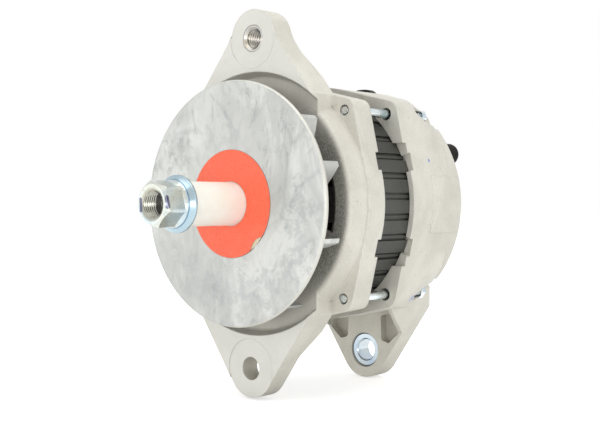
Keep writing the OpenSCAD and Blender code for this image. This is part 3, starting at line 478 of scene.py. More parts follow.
def raise_grain(tree, shader, height, depth, strength, normal=None):
    """Turns a height, of depth mm, into the shader's normal, over rounded edges where they
    are given."""
    bump = tree.nodes.new("ShaderNodeBump")
    bump.inputs["Strength"].default_value = strength
    bump.inputs["Distance"].default_value = depth * MM
    feed(tree, bump.inputs["Height"], height)
    if normal is not None:
        feed(tree, bump.inputs["Normal"], normal)
    feed(tree, shader.inputs["Normal"], bump.outputs[0])


def edge_and_hollow_shade(tree, radius, reach, openness=0.6):
    """Mask of the edges, rounded by radius mm, their normal, and mask of hollows for dust and
    painted shade.
    """
    edge = use(tree, SOFT_EDGE, radius=radius * MM)
    shade_and_dust = use(tree, HOLLOW_SHADE_AND_DUST, reach=reach * MM, openness=openness)["Mask"]
    return edge["Edge"], edge["Normal"], shade_and_dust


def streaked(tree, colour, streaks, ragged, low, high, share, over):
    """The colour under streaks, each two places and a width in mm. Low and high are where
    their mask begins and where it is full."""
    for start, end, width in streaks:
        mask = use(tree, RUB_MARK, start=Vector(start) * MM, end=Vector(end) * MM,
                   width=width * MM, ragged=ragged)["Mask"]
        colour = blend_colour(tree, remap(tree, mask, low, high, 0.0, share), colour, over)
    return colour


PAINT_BLUE = tint(104, 128, 200)
PAINT_DABS = [((64.8, 78.2, 117.6), (64.4, 78.6, 116.6), 1.5),
              ((54.6, 78.2, 38.6), (51.6, 80.4, 36.4), 2.2)]


def cast_aluminium(name, machined_y, shade_and_dust_share, dabs=(), fan_shadow_y=()):
    """Bare casting. Faces that lie at one of the machined places are cut smooth. A speckled
    painted shadow of the fan lies behind it, between two places along the shaft."""
    material, tree, shader = fresh(name)
    skin = use(tree, CAST_SKIN)
    edge, normal, shade_and_dust = edge_and_hollow_shade(tree, 0.9, 26)
    rings = use(tree, TURNED_RINGS, pitch=0.5 * MM)
    where = own_place(tree)
    _, along, upward = apart(tree, where)
    cut = 0.0
    for place in machined_y:
        cut = plus(tree, cut, calc(tree, "COMPARE", along, place, 0.06 * MM))
    rim = times(tree, edge, minus(tree, 1.0, shade_and_dust))
    # Hollows darkened with dust and painted shade
    colour = laid_on(tree, skin["Colour"], (cut, 0.5, tint(216, 216, 210)),
                     (shade_and_dust, shade_and_dust_share, tint(140, 135, 128)),
                     (rim, 0.55, tint(236, 235, 228)))
    # Painted shadow of the fan on the frame behind it, broken up by a speckle
    if fan_shadow_y:
        first, last = fan_shadow_y
        shadow_speckle = remap(tree, cloud(tree, where, 1100.0, 4.0, 0.75), 0.36, 0.66, 0.5, 0.95)
        behind = times(tree, remap(tree, along, first, first + 2 * MM),
                       remap(tree, along, last + 3 * MM, last))
        beside = remap(tree, calc(tree, "ABSOLUTE", minus(tree, upward, SHAFT_Z)), 54 * MM,
                       28 * MM, 0.35, 1.0)
        inward = remap(tree, from_shaft(tree, where), 67 * MM, 60 * MM)
        fan_shadow = times(tree, times(tree, behind, beside), inward)
        colour = laid_on(tree, colour, (fan_shadow, shadow_speckle, tint(104, 101, 95)))
    colour = streaked(tree, colour, dabs, 0.25, 0.2, 0.5, 0.85, PAINT_BLUE)
    uncut = minus(tree, 1.0, times(tree, cut, 0.85))
    height = plus(tree, times(tree, skin["Height"], uncut),
                  times(tree, times(tree, rings["Height"], 0.12), cut))
    roughness = minus(tree, skin["Roughness"], times(tree, cut, 0.16))
    wire_up(tree, shader, colour, roughness, 0.3)
    raise_grain(tree, shader, height, 0.14, 0.8, normal)
    return material


# Smears and streaks on the fan's front face: start, end (x and z in mm), width, strength
FAN_MARKS = [
    ((41.1, 141.4), (39.6, 130.0), 1.2, 0.35), ((39.6, 130.0), (37.1, 116.4), 0.9, 0.5),
    ((-14.0, 152.8), (-2.2, 137.9), 2.2, 0.5), ((-2.2, 137.9), (3.0, 131.5), 1.6, 0.4),
    ((23.2, 143.8), (14.5, 133.0), 0.6, 0.6), ((-53.5, 128.5), (-24.3, 131.6), 3.2, 0.3),
    ((62.5, 109.9), (47.7, 99.7), 1.6, 0.4), ((47.7, 99.7), (41.5, 79.9), 2.2, 0.4),
    ((-44.1, 116.8), (-37.3, 108.2), 0.7, 0.35), ((-14.2, 50.8), (-6.2, 39.1), 2.4, 0.3),
    ((23.9, 49.1), (7.5, 56.3), 0.7, 0.4), ((30.0, 62.0), (52.0, 60.5), 2.6, 0.22),
    ((-26.0, 50.0), (26.0, 44.0), 19.0, 0.42), ((48.0, 60.0), (53.0, 92.0), 14.0, 0.45),
    ((-16.0, 128.0), (8.0, 128.0), 8.0, 0.3),
]


def pressed_fan():
    """Smudged pressed aluminium, with streaks on its front and a rim that is cut bright."""
    material, tree, shader = fresh("pressed_fan_aluminium")
    sheet = use(tree, HANDLED_SHEET)
    edge, normal, shade_and_dust = edge_and_hollow_shade(tree, 0.5, 20, 0.5)
    colour = sheet["Colour"]
    for (start_x, start_z), (end_x, end_z), width, strength in FAN_MARKS:
        mark = use(tree, RUB_MARK, width=width * MM, ragged=1.3,
                   start=(start_x * MM, FAN_FRONT, start_z * MM),
                   end=(end_x * MM, FAN_FRONT, end_z * MM))["Mask"]
        colour = laid_on(tree, colour, (mark, strength, tint(158, 163, 165)))
    rim = remap(tree, from_shaft(tree, own_place(tree)), FAN_RADIUS - 0.9 * MM,
                FAN_RADIUS - 0.4 * MM)
    # Hollows darkened with painted shade and dust
    colour = laid_on(tree, colour, (rim, 0.8, tint(206, 204, 194)),
                     (edge, 0.3, tint(212, 213, 208)), (shade_and_dust, 0.5, tint(112, 112, 108)))
    wire_up(tree, shader, colour, sheet["Roughness"], 0.45)
    raise_grain(tree, shader, sheet["Height"], 0.03, 0.5, normal)
    return material


def zinc_plate(name, plain, cool, warm, drift=50.0, gloss=0.16, ring_depth=0.0,
               film_and_light_over=None):
    """Bright zinc plating with its thin coloured film, and the lathe's rings under it."""
    material, tree, shader = fresh(name)
    film = use(tree, ZINC_FILM, plain=plain, cool=cool, warm=warm, drift=drift)
    edge, normal, shade_and_dust = edge_and_hollow_shade(tree, 0.3, 4)
    rings = use(tree, TURNED_RINGS, pitch=0.3 * MM)
    colour = film_and_light_over(tree, film["Colour"]) if film_and_light_over else film["Colour"]
    # Hollows darkened blue-grey: painted shade and dust
    colour = laid_on(tree, colour, (edge, 0.5, tint(236, 241, 243)),
                     (shade_and_dust, 0.7, tint(84, 92, 112)))
    height = plus(tree, times(tree, film["Height"], 0.4),
                  times(tree, rings["Height"], ring_depth))
    wire_up(tree, shader, colour, plus(tree, film["Roughness"], gloss), 1.0)
    raise_grain(tree, shader, height, 0.02, 0.6, normal)
    return material


# Dark reflections painted on the nut's front cone, as blue film colour: two places and a
# width, in mm
NUT_PAINTED_REFLECTIONS = [((10.4, -71.8, 99.6), (10.8, -72.0, 94.4), 0.9),
              ((10.6, -72.2, 95.2), (10.9, -72.2, 90.9), 2.3),
              ((-8.6, -73.4, 94.4), (-8.2, -73.4, 88.6), 1.5)]
NUT_SEAM_R, NUT_SEAM_Y = 12.85 * MM, -59.3 * MM


def nut_film_and_painted_light(tree, colour):
    """Blue film on the flange, painted shade as a dark line in the crease where it meets the
    cone, a bare bore, and dark reflections painted on the cone.
    """
    where = own_place(tree)
    along, radius = apart(tree, where)[1], from_shaft(tree, where)
    mottle = remap(tree, cloud(tree, where, 420.0, 5.0, 0.7, 0.8), 0.5, 0.68)
    flange = remap(tree, along, NUT_SEAM_Y - 1.2 * MM, NUT_SEAM_Y + 0.6 * MM)
    bore = remap(tree, radius, 8.5 * MM, 8.1 * MM)
    out, back = minus(tree, radius, NUT_SEAM_R), minus(tree, along, NUT_SEAM_Y)
    away = calc(tree, "SQRT", plus(tree, times(tree, out, out), times(tree, back, back)))
    # Dark line painted at the crease between flange and cone: painted shade
    crease_shade = remap(tree, away, 0.55 * MM, 0.15 * MM)
    colour = laid_on(tree, colour, (mottle, 0.35, tint(150, 156, 158)),
                     (flange, 0.7, tint(152, 180, 194)), (bore, 0.8, tint(176, 172, 156)),
                     (crease_shade, 0.8, tint(58, 104, 136)))
    # Dark reflections painted on the cone
    return streaked(tree, colour, NUT_PAINTED_REFLECTIONS, 0.15, 0.15, 0.6, 0.8, tint(70, 72, 110))


def turned_metal(name, light, dark, gloss, pitch, depth):
    """Metal turned or ground round the shaft, with its rings showing."""
    material, tree, shader = fresh(name)
    rings = use(tree, TURNED_RINGS, pitch=pitch * MM)
    edge, normal, shade_and_dust = edge_and_hollow_shade(tree, 0.25, 4)
    # Hollows darkened near black: painted shade and dust
    colour = laid_on(tree, blend_colour(tree, rings["Tone"], dark, light),
                     (edge, 0.45, tint(226, 227, 228)), (shade_and_dust, 0.6, tint(50, 47, 44)))
    roughness = remap(tree, rings["Tone"], 0.0, 1.0, gloss, gloss + 0.12)
    wire_up(tree, shader, colour, roughness, 1.0)
    raise_grain(tree, shader, rings["Height"], depth, 0.7, normal)
    return material


def varnished_stack():
    """The stator's sheets, dark under varnish, with burnished corners."""
    material, tree, shader = fresh("varnished_sheet_stack")
    stack = use(tree, SHEET_STACK, sheet=0.65 * MM)
    edge, normal, shade_and_dust = edge_and_hollow_shade(tree, 0.25, 3)
    skin = use(tree, CAST_SKIN, light=tint(82, 82, 77), dark=tint(58, 59, 55),
               grain_size=0.5 * MM)
    # Hollows darkened: painted shade and dust
    colour = laid_on(tree, skin["Colour"],
                     (minus(tree, 1.0, stack["Tone"]), 0.55, tint(58, 58, 54)),
                     (edge, 0.35, tint(142, 142, 134)), (shade_and_dust, 0.8, tint(38, 37, 35)))
    wire_up(tree, shader, colour, minus(tree, skin["Roughness"], 0.14), 0.25)
    raise_grain(tree, shader, stack["Height"], 0.08, 0.8, normal)
    return material


def forged_pole():
    """Claw poles: forged scale on the plates, turned bright where they face the stator."""
    material, tree, shader = fresh("forged_pole_steel")
    skin = use(tree, CAST_SKIN, light=tint(104, 102, 100), dark=tint(66, 64, 64),
               grain_size=1.4 * MM)
    rings = use(tree, TURNED_RINGS, pitch=0.4 * MM)
    edge = use(tree, SOFT_EDGE, radius=0.5 * MM)
    scale_to, turned_from = 47.2 * MM, 47.45 * MM
    turned = remap(tree, from_shaft(tree, own_place(tree)), scale_to, turned_from)
    colour = laid_on(tree, skin["Colour"], (turned, 1.0, tint(150, 149, 146)),
                     (edge["Edge"], 0.4, tint(168, 166, 162)))
    height = plus(tree, skin["Height"], times(tree, rings["Height"], turned))
    wire_up(tree, shader, colour, minus(tree, skin["Roughness"], times(tree, turned, 0.2)),
            0.8)
    raise_grain(tree, shader, height, 0.1, 0.7, edge["Normal"])
    return material


def enamelled_copper(name, light, dark, wire=0.0):
    """Copper under amber enamel and dipping varnish. Wire adds a coil's rows, that wide."""
    material, tree, shader = fresh(name)
    rows = use(tree, WOUND_WIRE, wire=max(wire, 0.1) * MM)
    where = own_place(tree)
    varnish = remap(tree, cloud(tree, where, 90.0, 4.0, 0.6, 0.5), 0.38, 0.7)
    # Hollows darkened dark brown: painted shade and dust
    shade_and_dust = use(tree, HOLLOW_SHADE_AND_DUST, reach=5 * MM)["Mask"]
    colour = laid_on(tree, blend_colour(tree, varnish, light, dark),
                     (shade_and_dust, 0.7, tint(52, 26, 14)))
    height = plus(tree, times(tree, rows["Height"], 1.0 if wire else 0.0),
                  times(tree, cloud(tree, where, 700.0, 2.0), 0.2))
    wire_up(tree, shader, colour, remap(tree, rows["Tone"], 0.3, 0.7, 0.26, 0.4), 0.75)
    shader.inputs["Coat Weight"].default_value = 0.35
    shader.inputs["Coat Roughness"].default_value = 0.2
    raise_grain(tree, shader, height, max(0.3 * wire, 0.04), 0.9)
    return material


def moulded_plastic(name, light, dark, roughness, grain_size, depth, shine=0.5):
    material, tree, shader = fresh(name)
    shader.inputs["Specular IOR Level"].default_value = shine
    grain = use(tree, MOULDED_GRAIN, grain_size=grain_size * MM)
    edge, normal, shade_and_dust = edge_and_hollow_shade(tree, 0.4, 5)
    worn = blend_colour(tree, 0.25, light, tint(255, 255, 255))
    # Hollows darkened: painted shade and dust
    colour = laid_on(tree, blend_colour(tree, grain["Tone"], dark, light),
                     (edge, 0.3, worn), (shade_and_dust, 0.3, dark))
    wire_up(tree, shader, colour, remap(tree, grain["Tone"], 0.0, 1.0, roughness + 0.08,
                                        roughness - 0.04))
    raise_grain(tree, shader, grain["Height"], depth, 0.6, normal)
    return material


def sleeve_nylon():
    """Thin milky tube: a little light passes through, with flow marks along it."""
    material, tree, shader = fresh("milky_sleeve_nylon")
    where = own_place(tree)
    flow = cloud(tree, drawn_out(tree, where, (1.0, 0.12, 1.0)), 300.0, 3.0, 0.55, 0.3)
    edge = use(tree, SOFT_EDGE, radius=0.3 * MM)
    colour = blend_colour(tree, remap(tree, cloud(tree, where, 80.0, 3.0), 0.35, 0.7),
                          tint(244, 240, 224), tint(249, 246, 234))
    colour = laid_on(tree, colour, (remap(tree, flow, 0.5, 0.75), 0.3, tint(232, 228, 212)))
    wire_up(tree, shader, colour, remap(tree, flow, 0.3, 0.7, 0.36, 0.48))
    shader.inputs["Subsurface Weight"].default_value = 0.35
    shader.inputs["Subsurface Radius"].default_value = (1.0, 0.8, 0.6)
    shader.inputs["Subsurface Scale"].default_value = 2 * MM
    raise_grain(tree, shader, flow, 0.03, 0.4, edge["Normal"])
    return material


def label_film():
    """Plain orange film with a faint print mottle, rubbed a little at its rim."""
    material, tree, shader = fresh("orange_label_film")
    where = own_place(tree)
    mottle = cloud(tree, where, 1100.0, 3.0, 0.65)
    slow = cloud(tree, where, 110.0, 4.0, 0.6)
    edge = use(tree, SOFT_EDGE, radius=0.25 * MM)
    colour = blend_colour(tree, remap(tree, mottle, 0.3, 0.7), tint(242, 96, 64),
                          tint(247, 110, 78))
    colour = laid_on(tree, colour, (remap(tree, slow, 0.5, 0.75), 0.3, tint(255, 132, 104)),
                     (edge["Edge"], 0.35, tint(255, 176, 150)))
    wire_up(tree, shader, colour, remap(tree, slow, 0.3, 0.7, 0.4, 0.52))
    raise_grain(tree, shader, mottle, 0.02, 0.35, edge["Normal"])
    return material


def label_backing():
    """The label's pale paper layer, seen where the film is torn, with a painted shadow line at
    its rim.
    """
    material, tree, shader = fresh("torn_label_backing")
    where = own_place(tree)
    fibre = cloud(tree, drawn_out(tree, where, (1.0, 1.0, 0.3), (0, 0.8, 0)), 1800.0, 4.0,
                  0.7)
    # Dark line painted at the paper's rim: the shadow under the film's edge
    shadow_from, shadow_full = 29.0 * MM, 29.4 * MM
    rim_shadow = remap(tree, from_shaft(tree, where), shadow_from, shadow_full)
    colour = blend_colour(tree, remap(tree, fibre, 0.35, 0.65), tint(196, 186, 146),
                          tint(232, 226, 202))
    colour = blend_colour(tree, rim_shadow, colour, tint(104, 96, 92))
    wire_up(tree, shader, colour, remap(tree, fibre, 0.3, 0.7, 0.7, 0.85))
    raise_grain(tree, shader, fibre, 0.05, 0.8)
    return material


# Where along the shaft the castings are cut smooth, and where the fan's painted shadow lies
# behind it
FRONT_CUTS = [0.0, -0.5 * MM]
REAR_CUTS = [116 * MM, 104.9 * MM]
FAN_SHADOW_SPAN = (3 * MM, 14 * MM)

FINISHES = {
    "cast_front": cast_aluminium("sand_cast_front_frame", FRONT_CUTS, 0.6,
                                 fan_shadow_y=FAN_SHADOW_SPAN),
    "cast_rear": cast_aluminium("sand_cast_rear_frame", REAR_CUTS, 0.3, PAINT_DABS),
    "fan": pressed_fan(),
    "zinc": zinc_plate("blue_zinc_plate", tint(206, 214, 218), tint(168, 196, 210),
                       tint(208, 206, 190)),
    "zinc_nut": zinc_plate("bright_zinc_nut", tint(208, 215, 213), tint(186, 202, 208),
                           tint(208, 210, 198), 60.0, 0.15, 0.0, nut_film_and_painted_light),
    "zinc_bush": zinc_plate("bright_zinc_bushing", tint(196, 206, 212),
                            tint(176, 192, 208), tint(196, 202, 200), 70.0, 0.14),
    "zinc_thread": zinc_plate("pale_zinc_thread", tint(186, 183, 178),
                              tint(170, 170, 168), tint(182, 174, 160), 90.0, 0.27),
    "zinc_bolt": zinc_plate("rainbow_zinc_bolt", tint(226, 231, 231), tint(190, 211, 222),
                            tint(226, 218, 212), 160.0, 0.24, 0.3),
    "bearing": turned_metal("ground_bearing_steel", tint(204, 205, 207),
                            tint(180, 181, 184), 0.14, 0.12, 0.004),
    "turned": turned_metal("turned_shaft_steel", tint(178, 178, 178), tint(138, 138, 140),
                           0.26, 0.3, 0.02),
    "poles": forged_pole(),
    "stack": varnished_stack(),
    "coils": enamelled_copper("varnished_stator_wire", tint(176, 98, 52),
                              tint(112, 56, 30)),
    "field": enamelled_copper("varnished_field_coil", tint(166, 90, 48), tint(104, 52, 28),
                              0.9),
    "leads": enamelled_copper("bare_copper_lead", tint(206, 128, 84), tint(158, 88, 56)),
    "rings": turned_metal("worn_slip_ring_copper", tint(216, 144, 104),
                          tint(168, 98, 66), 0.22, 0.2, 0.01),
    "cage": turned_metal("pressed_cage_brass", tint(206, 178, 112), tint(164, 134, 76),
                         0.28, 0.4, 0.015),
    "rubber": moulded_plastic("moulded_seal_rubber", tint(46, 45, 44), tint(28, 28, 28),
                              0.6, 0.35, 0.03),
    "sleeve": sleeve_nylon(),
    "nylon": moulded_plastic("natural_nylon", tint(228, 222, 202), tint(206, 198, 174),
                             0.42, 0.6, 0.03),
    "black": moulded_plastic("black_moulded_plastic", tint(34, 32, 28), tint(20, 19, 17),
                             0.5, 0.4, 0.04, 0.08),
    "carbon": moulded_plastic("copper_graphite_brush", tint(84, 68, 62), tint(50, 46, 45),
                              0.5, 0.3, 0.05),
    "sink": turned_metal("blanked_sink_aluminium", tint(204, 205, 206),
                         tint(176, 177, 180), 0.34, 0.8, 0.01),
    "film": label_film(),
    "backing": label_backing(),
}

FINISH_OF_SLOT = {
    "cast_aluminium": "cast_front", "zinc_plated_steel": "zinc", "bearing_steel": "bearing",
    "laminated_steel": "stack", "pole_steel": "poles", "turned_steel": "turned",
    "copper": "leads", "cage_brass": "cage", "seal_rubber": "rubber",
    "fan_aluminium": "fan", "label_film": "film", "sleeve_plastic": "sleeve",
    "nylon": "nylon", "black_plastic": "black", "carbon": "carbon",
    "sink_aluminium": "sink",
}
FINISH_OF_NODE = {
    "slip_ring_end_frame": "cast_rear", "shaft_nut": "zinc_nut",
    "slip_bushing": "zinc_bush", "through_bolts": "zinc_bolt", "stator_winding": "coils",
    "field_coil": "field", "slip_rings": "rings",
}


def dress_nodes():
    for row in frame["record"]["subparts"]:
        node = nodes[row["node"]]
        finish = FINISH_OF_NODE.get(row["node"], FINISH_OF_SLOT[row["material_slot"]])
        if not node.material_slots:
            node.data.materials.append(None)
        for place in node.material_slots:
            place.material = FINISHES[finish]


# Pieces made in mesh

def make_piece(name, points, faces, finish, body, smooth_below=35):
    mesh = bpy.data.meshes.new(name)
    mesh.from_pydata([tuple(p) for p in points], [], faces)
    work = bmesh.new()
    work.from_mesh(mesh)
    bmesh.ops.remove_doubles(work, verts=work.verts, dist=0.5e-6)
    bmesh.ops.recalc_face_normals(work, faces=work.faces)
    work.to_mesh(mesh)
    work.free()
    for face in mesh.polygons:
        face.use_smooth = True
    mesh.set_sharp_from_angle(angle=math.radians(smooth_below))
    piece = bpy.data.objects.new(name, mesh)
    bpy.context.scene.collection.objects.link(piece)
    mesh.materials.append(FINISHES[finish])
    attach(piece, body)
    return piece


def join_rings(faces, one, other, count):
    """Adds the faces between two rings of points, given by the number of their first."""
    for step in range(count):
        ahead = (step + 1) % count
        faces.append((one + step, one + ahead, other + ahead, other + step))


def thread_swing(share):
    """How far a thread lies from its crest, 0 to 1, over one turn, with flats at both."""
    crest_flat, flank = 0.12, 0.72
    swing = abs(share % 1.0 - 0.5) * 2
    return min(max((swing - crest_flat) / flank, 0.0), 1.0)


def lathed_piece(name, middles, rows, finish, body, steps=72, smooth_below=35):
    """A piece made of rings round one axis along Y, or the same round several of them. A row
    is a radius and a place along Y, or a function that gives both for an angle."""
    points, faces = [], []
    for middle in middles:
        first = len(points)
        for row in rows:
            for step in range(steps):
                angle = TURN * step / steps
                radius, y = row(angle) if callable(row) else row
                points.append((middle[0] + radius * math.cos(angle), y,
                               middle[1] + radius * math.sin(angle)))
        for row in range(len(rows) - 1):
            join_rings(faces, first + row * steps, first + (row + 1) * steps, steps)
    return make_piece(name, points, faces, finish, body, smooth_below)


def thread_row(y, radius, depth, pitch):
    """One row of a screw thread whose grooves go in by depth, or out when it is negative."""
    def row(angle):
        return radius - depth * thread_swing(y / pitch - angle / TURN), y
    return row


def thread_rows(y0, y1, radius, depth, pitch, rows_per_turn=10):
    """Rows of a thread from y0 to y1, which runs out over half a turn at both ends."""
    count = max(2, round((y1 - y0) / pitch * rows_per_turn))
    rows = []
    for row in range(count + 1):
        y = y0 + (y1 - y0) * row / count
        fade = min(1.0, (y - y0) / (pitch / 2), (y1 - y) / (pitch / 2))
        rows.append(thread_row(y, radius, depth * max(fade, 0.0), pitch))
    return rows


def tension_thread_insert():
    """Steel insert of the upper ear, with its thread cut into the bore."""
    middle, outer, front, rear = round_room("tension_insert")
    crest, depth, pitch = 5.1 * MM, 0.95 * MM, 1.75 * MM
    lead_in, mouth_flare, lip = 1.2 * MM, 1.4 * MM, 0.3 * MM
    mouth = (crest + mouth_flare, front)
    rows = ([mouth] + thread_rows(front + lead_in, rear - lip, crest, -depth, pitch)
            + [(crest + lip, rear), (outer - lip, rear), (outer, rear - lip),
               (outer, front + lip), (outer - lip, front), mouth])
    piece = lathed_piece("threaded_ear_insert", [middle], rows, "zinc_thread", "housing")
    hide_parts("tension_insert")


def hexagon(flats, turn=0.0):
    """Reach of a hexagon at an angle, from its width across the flats."""
    def reach(angle):
        swing = (angle - turn + math.pi / 6) % (math.pi / 3) - math.pi / 6
        return flats / 2 / math.cos(swing)
    return reach


def through_bolts():
    """The four long bolts, each with a plain shank and a hexagon head in its scoop."""
    low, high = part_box("through_bolts")
    shank, washer, cad_head = 2.4 * MM, 4.5 * MM, 5.5 * MM
    head_height, face, face_slope = 4.6 * MM, 3.6 * MM, 0.6
    dish_rim, dish, dish_depth, lip = 3.0 * MM, 2.6 * MM, 0.3 * MM, 0.5 * MM
    front, rear = low[1], high[1]
    head_from, spread = rear - head_height, high[0] - cad_head
    corner = hexagon(8 * MM, math.radians(20))
    rows = [(0, front), (shank - lip, front), (shank, front + lip), (shank, head_from),
            (washer, head_from), (washer, head_from + lip),
            lambda angle: (corner(angle), head_from + lip),
            lambda angle: (corner(angle), rear - (corner(angle) - face) * face_slope),
            (face, rear), (dish_rim, rear), (dish, rear - dish_depth),
            (0, rear - dish_depth)]
    middles = [(x, SHAFT_Z + z) for x in (-spread, spread) for z in (-spread, spread)]
    piece = lathed_piece("long_through_bolts", middles, rows, "zinc_bolt", "housing",
                         48, 30)
    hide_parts("through_bolts")


def flanged_shaft_nut():
    """Hexagon nut with a round flange, a coned front and a fine thread before the shaft."""
    _, flange_r, front, rear = round_room("shaft_nut")
    shaft_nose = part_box("rotor_shaft")[0][1]
    flange_front_r, flange_lip, foot_r = flange_r - 0.1 * MM, 0.45 * MM, 13.2 * MM
    cone_foot, front_r, cone_slope = front + 12.5 * MM, 10.2 * MM, 1.15
    bore, crest, pitch, mouth_flare = 8.0 * MM, 7.25 * MM, 1.4 * MM, 1.0 * MM
    thread_front, thread_rear = front + 0.9 * MM, shaft_nose - 0.1 * MM
    corner = hexagon(21.8 * MM, math.radians(14))

    def coned_corner(angle):
        return corner(angle), front + (corner(angle) - front_r) / cone_slope

    def foot(angle):
        return corner(angle), cone_foot

    # The step and the flange behind the hexagon, each as a radius and a way from its foot
    flange = [(12.7 * MM, 1.5 * MM), (12.85 * MM, 1.9 * MM), (14.6 * MM, 3.6 * MM),
              (flange_front_r, 4.0 * MM), (flange_r, 4.5 * MM), (flange_r, 5.3 * MM),
              (flange_r - flange_lip, 5.9 * MM)]
    thread = thread_rows(thread_front, thread_rear, crest, crest - bore, pitch)
    mouth = (bore + mouth_flare, front)
    rows = ([mouth, (front_r, front), coned_corner, foot]
            + [(radius, cone_foot + behind) for radius, behind in flange]
            + [(foot_r, rear), (bore, rear), (bore, shaft_nose), (bore, thread_rear)]
            + thread[::-1] + [mouth])
    piece = lathed_piece("flanged_shaft_nut", [(0, SHAFT_Z)], rows, "zinc_nut", "rotor",
                         144, 25)
    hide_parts("shaft_nut")


def output_stud():
    """Terminal stud: flat head inside, plain shank in its bush, threaded end outside."""
    middle, head, front, rear = round_room("output_stud")
    shank, head_height, lip = 3.0 * MM, 3.0 * MM, 0.5 * MM
    depth, pitch, nose_height, nose_taper = 0.55 * MM, 1.0 * MM, 0.7 * MM, 0.8 * MM
    thread_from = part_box("output_nut")[0][1] + 0.2 * MM
    rows = ([(0, front), (head - lip, front), (head, front + lip),
             (head, front + head_height), (shank, front + head_height)]
            + thread_rows(thread_from, rear - nose_height, shank, depth, pitch)
            + [(shank - nose_taper, rear), (0, rear)])
    piece = lathed_piece("threaded_output_stud", [middle], rows, "zinc", "housing")
    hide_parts("output_stud")


def terminal_block():
    """Moulded block round the stud, with a round top that falls away towards the rear."""
    low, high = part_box("output_insulator")
    middle = round_room("output_stud")[0]
    front, rear, half = low[1], high[1], (high[0] - low[0]) / 2
    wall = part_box("slip_ring_end_frame")[0][1] + 53 * MM
    top_front, top_rear, level_share = high[2] - 1.2 * MM, high[2] - 5.0 * MM, 0.4
    round_corner, square_corner = 3.2, 9.0
    bore, bush, pocket, lip = 3.06 * MM, 4.4 * MM, 7.0 * MM, 0.5 * MM
    pocket_floor, slope_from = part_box("output_nut")[0][1], wall + level_share * (rear - wall)

    def at(y, top, shrink=0.0):
        """The block's outline at one place: rounded above the stud, square below it."""
        up, down = top - middle[1] - shrink, middle[1] - low[2] - shrink
        side = half - shrink

        def row(angle):
            across_x, across_z = math.cos(angle), math.sin(angle)
            limit, power = (up, round_corner) if across_z > 0 else (down, square_corner)
            return ((abs(across_x) / side) ** power
                    + (abs(across_z) / limit) ** power) ** (-1 / power), y
        return row

    rows = [(bore, front), (bush, front), (bush, wall), at(wall, top_front, lip),
            at(wall + lip, top_front), at(slope_from, top_front), at(rear - lip, top_rear),
            at(rear, top_rear, lip), (pocket + lip, rear), (pocket, rear - lip),
            (pocket, pocket_floor), (bore, pocket_floor), (bore, front)]
    piece = lathed_piece("terminal_block", [middle], rows, "black", "housing",
                         120, 30)
    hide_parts("output_insulator")


def sliding_bushing():
    """Steel bushing that slides in the lower rear lug, with broken edges on both ends."""
    _, outer, front, rear = round_room("slip_bushing")
    bore, lip = 6.5 * MM, 0.7 * MM
    rows = [(bore + lip, front), (outer - lip, front), (outer, front + lip),
            (outer, rear - lip), (outer - lip, rear), (bore + lip, rear), (bore, rear - lip),
            (bore, front + lip), (bore + lip, front)]
    piece = lathed_piece("slip_bushing_sleeve", [(0, 0)], rows, "zinc_bush", "bushing",
                         96, 25)
    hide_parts("slip_bushing")


# The label: a paper layer under an orange film that is torn and lifted at one place

LABEL_IN = 12.25 * MM
LABEL_OUT = 29.68 * MM
TEAR_MIDDLE = math.radians(-47)
TEAR_HALF = math.radians(11)
TEAR_DEPTH = 2.5
TEAR_RAGGED = 0.35
PAPER_THICK = 0.12 * MM
FILM_THICK = 0.11 * MM
GLUE_THICK = 0.01 * MM


def from_tear(angle):
    """How far round the label an angle lies from the middle of the tear."""
    return (angle - TEAR_MIDDLE + math.pi) % TURN - math.pi


def tear_depth(angle):
    """How far the film's torn edge lies inside its round rim."""
    share = abs(from_tear(angle)) / TEAR_HALF
    if share >= 1:
        return 0.0
    ragged = noise.noise(Vector((angle * 38, 0.3, 1.7)))
    return (TEAR_DEPTH * (1 - share ** 2.2) + TEAR_RAGGED * ragged * (1 - share)) * MM


def washer_sheet(name, back, thick, rim, lift, finish):
    """A thin ring of sheet on the fan's face, with its own rim line and lift."""
    steps, rings = 240, 12
    points, faces = [], []
    for side in (0, 1):
        for ring in range(rings + 1):
            for step in range(steps):
                angle = TURN * step / steps
                radius = LABEL_IN + (rim(angle) - LABEL_IN) * (ring / rings) ** 0.7
                y = back - thick * side - lift(angle, radius)
                points.append((radius * math.cos(angle), y,
                               SHAFT_Z + radius * math.sin(angle)))
    layer = (rings + 1) * steps
    for near in range(0, rings * steps, steps):
        far = near + steps
        join_rings(faces, near, far, steps)
        join_rings(faces, layer + far, layer + near, steps)
    for rim_row in (0, rings * steps):
        join_rings(faces, rim_row, layer + rim_row, steps)
    return make_piece(name, points, faces, finish, "rotor")


def make_label():
    def no_lift(angle, radius):
        return 0.0

    def curl(angle, radius):
        lift, curl_from, curl_width = 0.5 * MM, 22 * MM, 7 * MM
        side = math.exp(-(from_tear(angle) / (TEAR_HALF * 1.3)) ** 2)
        return lift * side * max(0.0, (radius - curl_from) / curl_width) ** 2

    def paper_rim(angle):
        return LABEL_OUT - 0.4 * tear_depth(angle) * abs(
            noise.noise(Vector((angle * 60, 2.1, 0.4))))

    def film_rim(angle):
        return LABEL_OUT - 0.12 * MM - tear_depth(angle)

    paper_back = FAN_FRONT - GLUE_THICK
    paper = washer_sheet("label_paper", paper_back, PAPER_THICK, paper_rim, no_lift,
                         "backing")
    washer_sheet("label_film", paper_back - PAPER_THICK, FILM_THICK, film_rim, curl, "film")
    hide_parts("fan_label")


# The stator's coils: each runs down one slot, over the crown, and back three slots on

SLOTS = 36
SLOT_PHASE = math.radians(-1)
SLOTS_SPANNED = 3
WIRE_RADIUS = 0.58 * MM
INNER_LAYER = 51.3 * MM
OUTER_LAYER = 58.3 * MM
WIRE_SIDE_STEP = 1.25 * MM
WIRE_RADIAL_STEP = 1.18 * MM
CROWN_POINTS = 12
CROWN_SQUARENESS = 0.8
CROWN_ROOM = 0.2 * MM
STRAIGHT_END = 1 * MM


